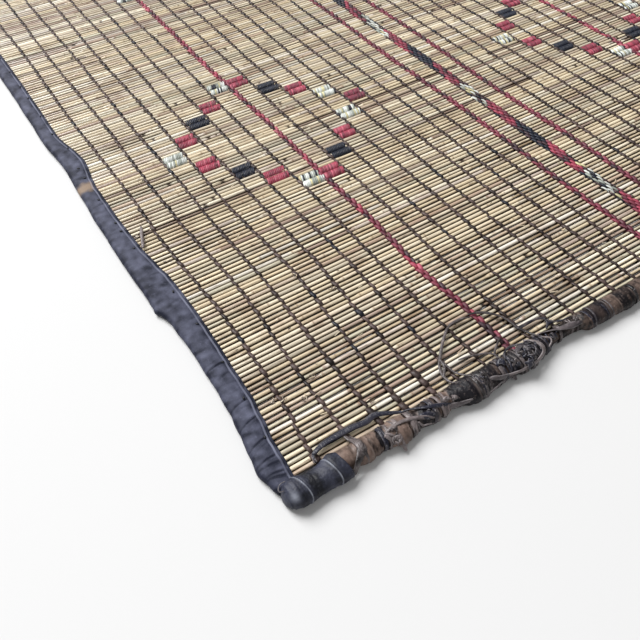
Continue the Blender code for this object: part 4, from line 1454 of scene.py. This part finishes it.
LOOSE_ENDS = (
    # width or widths, thickness, tone, wear, how navy, points as (way in, along, height)
    (
        (0.0014, 0.0020, 0.0030, 0.0044, 0.0054, 0.0056, 0.0050, 0.0042, 0.0032, 0.0020, 0.0018, 0.0026, 0.0034, 0.0030),
        0.0010, 0.1, 0.45, 1.0, (
            (0.0130, -0.0010, 0.0080), (0.0142, 0.0045, 0.0072), (0.0167, 0.0058, 0.0076), (0.0241, 0.0080, 0.0071),
            (0.0325, 0.0084, 0.0070), (0.0436, 0.0082, 0.0070), (0.0539, 0.0067, 0.0071), (0.0612, 0.0079, 0.0069),
            (0.0670, 0.0056, 0.0072), (0.0758, 0.0006, 0.0076), (0.0810, -0.0015, 0.0090), (0.0901, -0.0072, 0.0112),
            (0.0990, -0.0105, 0.0105), (0.1094, -0.0128, 0.0060),
        ),
    ),
    (0.0012, 0.0008, 0.50, 0.3, 0.0, ((0.0142, 0.0060, 0.0068), (0.0125, 0.0015, 0.0075), (0.0112, -0.0015, 0.0105))),
    (0.0010, 0.0008, 0.60, 0.3, 0.0, ((0.0158, 0.0064, 0.0068), (0.0140, 0.0020, 0.0073), (0.0130, -0.0015, 0.0105))),
    (0.0022, 0.0010, 0.45, 0.5, 0.0, (
        (0.1165, -0.0010, 0.0085), (0.1162, 0.0076, 0.0068), (0.1190, 0.0150, 0.0069), (0.1240, 0.0205, 0.0068),
        (0.1340, 0.0300, 0.0069), (0.1460, 0.0385, 0.0068), (0.1560, 0.0395, 0.0068), (0.1640, 0.0370, 0.0068),
    )),
    (0.0022, 0.0009, 0.25, 0.5, 0.0, (
        (0.1640, 0.0395, 0.0068), (0.1710, 0.0375, 0.0067), (0.1769, 0.0328, 0.0069), (0.1823, 0.0257, 0.0068),
        (0.1843, 0.0182, 0.0069), (0.1849, 0.0126, 0.0068), (0.1873, 0.0060, 0.0068), (0.1890, -0.0020, 0.0092),
    )),
    (0.0026, 0.0010, 0.75, 0.5, 0.0, (
        (0.0559, -0.0100, 0.0098), (0.0607, -0.0073, 0.0108), (0.0695, -0.0070, 0.0115), (0.0773, -0.0084, 0.0108),
        (0.0842, -0.0111, 0.0098), (0.0909, -0.0142, 0.0080),
    )),
    ((0.0030, 0.0056, 0.0052), 0.0010, 0.10, 0.3, 1.0, ((0.0830, -0.0090, 0.0105), (0.0885, -0.0122, 0.0094), (0.0940, -0.0145, 0.0070))),
    (0.0036, 0.0010, 0.75, 0.9, 0.3, (
        (0.1010, -0.0120, 0.0085), (0.1086, -0.0137, 0.0064), (0.1174, -0.0160, 0.0068), (0.1260, -0.0178, 0.0052),
        (0.1302, -0.0182, 0.0038), (0.1335, -0.0172, 0.0042),
    )),
    (0.0038, 0.0010, 0.70, 0.9, 0.3, (
        (0.1310, -0.0185, 0.0032), (0.1345, -0.0174, 0.0044), (0.1406, -0.0168, 0.0054), (0.1470, -0.0158, 0.0048),
        (0.1507, -0.0152, 0.0032),
    )),
    (0.0036, 0.0010, 0.60, 0.9, 0.3, (
        (0.1377, -0.0118, 0.0108), (0.1447, -0.0147, 0.0094), (0.1549, -0.0152, 0.0052), (0.1561, -0.0185, 0.0030),
    )),
    (0.0028, 0.0010, 0.85, 1.2, 0.0, (
        (0.1480, -0.0135, 0.0072), (0.1540, -0.0152, 0.0070), (0.1631, -0.0172, 0.0078), (0.1741, -0.0173, 0.0087),
        (0.1827, -0.0142, 0.0096), (0.1843, -0.0094, 0.0109), (0.1824, -0.0027, 0.0097), (0.1790, 0.0010, 0.0078),
    )),
    (0.0046, 0.0010, 0.55, 0.7, 0.3, (
        (0.1864, 0.0003, 0.0072), (0.1910, -0.0002, 0.0072), (0.1956, -0.0018, 0.0084), (0.2013, -0.0041, 0.0095),
        (0.2077, -0.0063, 0.0096), (0.2140, -0.0080, 0.0100), (0.2220, -0.0100, 0.0104),
    )),
    (0.0016, 0.0009, 0.05, 0.1, 1.0, (
        (0.1999, 0.0005, 0.0074), (0.2041, 0.0030, 0.0070), (0.2085, 0.0023, 0.0070), (0.2134, 0.0000, 0.0076), (0.2200, -0.0020, 0.0096),
    )),
    (0.0022, 0.0009, 0.15, 0.4, 0.5, (
        (0.1836, 0.0112, 0.0068), (0.1875, 0.0110, 0.0068), (0.1942, 0.0110, 0.0069), (0.2013, 0.0106, 0.0068),
        (0.2056, 0.0080, 0.0069), (0.2048, 0.0037, 0.0069), (0.2002, 0.0002, 0.0076),
    )),
    (0.0036, 0.0010, 0.45, 0.8, 0.5, (
        (0.1646, -0.0101, 0.0122), (0.1664, -0.0057, 0.0120), (0.1719, -0.0028, 0.0106), (0.1750, -0.0038, 0.0108),
        (0.1745, -0.0081, 0.0118), (0.1708, -0.0128, 0.0116),
    )),
    (0.0008, 0.0006, 0.70, 1.0, 0.6, (
        (-0.0085, -0.0015, 0.0086), (-0.0118, -0.0012, 0.0082), (-0.0142, -0.0028, 0.0078), (-0.0148, -0.0054, 0.0084), (-0.0128, -0.0072, 0.0104),
    )),
    (0.0013, 0.0008, 1.00, 1.5, 0.0, ((0.1895, -0.0050, 0.0108), (0.1932, -0.0087, 0.0113), (0.1920, -0.0115, 0.0106), (0.1883, -0.0132, 0.0096))),
    (0.0026, 0.0008, 1.20, 1.8, 0.0, ((0.0565, -0.0095, 0.0110), (0.0585, -0.0118, 0.0096), (0.0639, -0.0163, 0.0048), (0.0647, -0.0212, 0.0024))),
    (0.0016, 0.0008, 1.20, 1.8, 0.0, ((0.0575, -0.0085, 0.0112), (0.0605, -0.0112, 0.0106), (0.0640, -0.0145, 0.0070), (0.0665, -0.0190, 0.0032))),
    (0.0014, 0.0008, 1.10, 1.5, 0.0, ((0.0800, -0.0120, 0.0094), (0.0820, -0.0143, 0.0066), (0.0860, -0.0150, 0.0058), (0.0907, -0.0153, 0.0036))),
    (0.0030, 0.0010, 0.50, 0.4, 0.0, (
        (0.0372, 0.0075, 0.0064), (0.0383, 0.0022, 0.0072), (0.0390, -0.0023, 0.0097), (0.0389, -0.0086, 0.0114), (0.0404, -0.0148, 0.0080),
    )),
    (0.0016, 0.0009, 0.35, 0.4, 0.0, ((0.0400, 0.0040, 0.0066), (0.0412, -0.0020, 0.0096), (0.0420, -0.0090, 0.0112), (0.0400, -0.0150, 0.0074))),
    (0.0052, 0.0010, 0.35, 0.3, 0.0, (
        (0.0290, -0.0178, 0.0040), (0.0325, -0.0152, 0.0084), (0.0375, -0.0112, 0.0108), (0.0400, -0.0060, 0.0112), (0.0402, -0.0010, 0.0094),
    )),
    (0.0018, 0.0009, 0.40, 0.5, 0.0, (
        (0.1230, 0.0211, 0.0068), (0.1215, 0.0130, 0.0070), (0.1163, 0.0070, 0.0069), (0.1170, 0.0005, 0.0078), (0.1250, -0.0060, 0.0112),
    )),
    (0.0016, 0.0009, 0.35, 0.4, 0.0, ((0.1229, 0.0194, 0.0069), (0.1235, 0.0120, 0.0070), (0.1245, 0.0050, 0.0073), (0.1302, -0.0057, 0.0112))),
    (0.0016, 0.0008, 0.35, 0.4, 0.0, (
        (0.1330, 0.0128, 0.0067), (0.1400, 0.0112, 0.0069), (0.1454, 0.0094, 0.0068), (0.1530, 0.0061, 0.0068), (0.1565, 0.0005, 0.0080),
    )),
    (0.0016, 0.0008, 0.30, 0.4, 0.0, ((0.1690, 0.0120, 0.0067), (0.1616, 0.0077, 0.0069), (0.1556, 0.0027, 0.0074), (0.1545, -0.0040, 0.0106))),
    (0.0016, 0.0008, 0.35, 0.4, 0.0, (
        (0.1860, 0.0123, 0.0068), (0.1977, 0.0111, 0.0069), (0.2039, 0.0097, 0.0068), (0.2061, 0.0065, 0.0068), (0.2095, -0.0010, 0.0092),
    )),
    (0.0020, 0.0009, 0.25, 0.5, 0.5, (
        (0.1560, -0.0060, 0.0112), (0.1600, -0.0010, 0.0100), (0.1680, 0.0015, 0.0082), (0.1760, -0.0030, 0.0112),
        (0.1790, -0.0100, 0.0122), (0.1720, -0.0150, 0.0106), (0.1620, -0.0168, 0.0080),
    )),
    (0.0026, 0.0009, 0.95, 0.3, 0.0, ((0.0131, 0.2481, 0.0066), (0.0100, 0.2400, 0.0070), (0.0065, 0.2300, 0.0067), (0.0041, 0.2245, 0.0068))),
)
loose_ends = strap_piece("loose_ends", [
    {
        "route": [from_corner(*point) for point in points], "width": width, "thickness": thickness, "tone": tone,
        "wear": wear, "navy": navy, "seed": float(number), "twist": 0.22, "outward": lay_face,
    }
    for number, (width, thickness, tone, wear, navy, points) in enumerate(LOOSE_ENDS)
], DARK_THONG)

# %% [markdown]
# ## Turns, bunches and knots round the front roll
# Thin thongs still hold the front roll's leather. They come in bunches with smooth leather in
# between, and where ends were tied there are small knots. A turn follows the roll's skin from
# under its outer side over the top. A knot is a few curled straps about one place.

# %% The turns and knots
lots = random.Random(29)
front_table = roll_table(-1)


def turn_route(along, drift, first, last, proud, count=7):
    """Points round the front roll from one angle to another, in degrees."""
    route = []
    for step in range(count):
        part = step / (count - 1)
        angle = math.radians(first + (last - first) * part)
        wobble = lots.uniform(-0.0003, 0.0005)
        route.append(roll_place(-1, front_table, along + drift * part, angle, proud + wobble))
    return route


BUNCHES = (
    # way in, how many turns, how far they spread, tone
    (0.0395, 2, 0.0030, 0.50), (0.0550, 4, 0.0035, 0.25), (0.0640, 3, 0.0040, 0.75), (0.0770, 4, 0.0060, 0.45),
    (0.0930, 4, 0.0050, 0.30), (0.1000, 3, 0.0030, 0.60), (0.1300, 5, 0.0045, 0.25), (0.1365, 3, 0.0020, 0.20),
    (0.1480, 4, 0.0040, 0.20), (0.1560, 4, 0.0050, 0.10), (0.1640, 4, 0.0050, 0.25), (0.1720, 4, 0.0050, 0.15),
    (0.1800, 3, 0.0040, 0.30), (0.1900, 3, 0.0040, 0.25), (0.2030, 3, 0.0050, 0.30), (0.2170, 3, 0.0050, 0.40),
    (0.2320, 2, 0.0040, 0.30),
)
turns = []


def add_turn(along, tone):
    """One thin turn of thong round the front roll."""
    turns.append({
        "route": turn_route(along, lots.uniform(-0.003, 0.006), lots.uniform(-55, -25), lots.uniform(165, 215), 0.0007),
        "width": 0.0011 + 0.0030 * lots.random() ** 2, "thickness": lots.uniform(0.0007, 0.0010), "tone": tone + lots.uniform(-0.30, 0.45),
        "twist": 0.25, "steps": 3, "outward": lay_face, "seed": along * 90, "wear": lots.uniform(0.0, 0.7),
        "navy": lots.choice((0.0, 0.0, 0.6, 1.0)) if tone < 0.4 else 0.0,
    })


for way_in, count, spread, tone in BUNCHES:
    for turn in range(count):
        add_turn(way_in - CAP_SPAN[1] + lots.uniform(-spread, spread) / 2, tone)
along = 0.2450 - CAP_SPAN[1]
while along < ROLL_LENGTH - 0.02:
    tone = lots.uniform(0.1, 0.7)
    for turn in range(lots.randint(1, 3)):
        add_turn(along + turn * 0.0022, tone)
    along += lots.uniform(0.016, 0.040)

KNOTS = (
    # way in, degrees round the roll, size, tone
    (0.0625, 45, 0.0032, 0.85), (0.0640, 80, 0.0026, 0.60), (0.0905, 60, 0.0026, 0.40), (0.1030, 78, 0.0030, 0.75),
    (0.1085, 62, 0.0028, 0.65), (0.1315, 80, 0.0030, 0.30), (0.1370, 100, 0.0028, 0.30), (0.1500, 95, 0.0032, 0.20),
    (0.1600, 70, 0.0036, 0.25), (0.1690, 92, 0.0042, 0.45), (0.1735, 68, 0.0044, 0.50), (0.1685, 42, 0.0036, 0.35),
    (0.1780, 100, 0.0034, 0.20), (0.1980, 70, 0.0030, 0.40), (0.2200, 75, 0.0028, 0.35),
)
for way_in, degrees, size, tone in KNOTS:
    heart = roll_place(-1, front_table, way_in - CAP_SPAN[1], math.radians(degrees), 0.0010)
    for curl in range(4):
        spin = Vector((lots.uniform(-1, 1), lots.uniform(-1, 1), lots.uniform(-0.4, 1))).normalized()
        arm = spin.orthogonal().normalized() * size * lots.uniform(0.5, 1.0)
        other = spin.cross(arm)
        first, sweep = lots.uniform(0, 360), lots.uniform(150, 280)
        angles = [math.radians(first + sweep * step / 5) for step in range(6)]
        off = Vector((lots.uniform(-1, 1), lots.uniform(-1, 1), lots.uniform(-0.4, 0.4))) * size * 0.5
        turns.append({
            "route": [heart + off + arm * math.cos(angle) + other * math.sin(angle) * 0.75 for angle in angles],
            "width": lots.uniform(0.0014, 0.0034), "thickness": 0.0008, "tone": tone + lots.uniform(-0.3, 0.3),
            "twist": 0.6, "steps": 3, "outward": lay_face, "seed": curl * 3.7 + way_in * 50, "wear": lots.uniform(0.2, 1.1),
            "navy": lots.choice((0.0, 0.5, 1.0)) if tone < 0.6 else 0.0,
        })
roll_turns = strap_piece("roll_turns", turns, DARK_THONG)

# %% [markdown]
# ## Saying what each piece stands for
# Every piece rides on the mat's one body, and the solids that it stands for are hidden. The
# stems take the place of the reed panel, and all the rest is on them.

# %% Ride and replace
def weft_nodes(numbers):
    return [f"weft_{number:02d}" for number in numbers]


def settle(piece, slot, *nodes):
    """Hang a piece on the mat's body and hide the solids it stands for; the slot is not used."""
    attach(piece, "root")
    if nodes:
        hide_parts(*nodes)


settle(reeds, "reed", "reed_panel")
settle(splinters, "reed")
settle(thongs_left, "thong_brown", *weft_nodes(left_numbers))
settle(thongs_right, "thong_brown", *weft_nodes(right_numbers))
settle(red_pairs, "thong_red", *weft_nodes(RED_NUMBERS))
settle(centre_band, "thong_red", *weft_nodes([BAND_INDEX]))
settle(colour_blocks, "thong_red")
settle(strip_left, "binding_indigo", "binding_left")
settle(strip_right, "binding_indigo", "binding_right")
settle(stitches, "cap_black")
settle(edge_roll_front, "thong_brown", "roll_front")
settle(edge_roll_back, "thong_brown", "roll_back")
for sleeve, node in sleeves:
    settle(sleeve, "cap_black", node)
settle(loose_ends, "thong_brown", *[f"loose_thong_{number}" for number in range(1, 7)])
settle(roll_turns, "thong_brown")
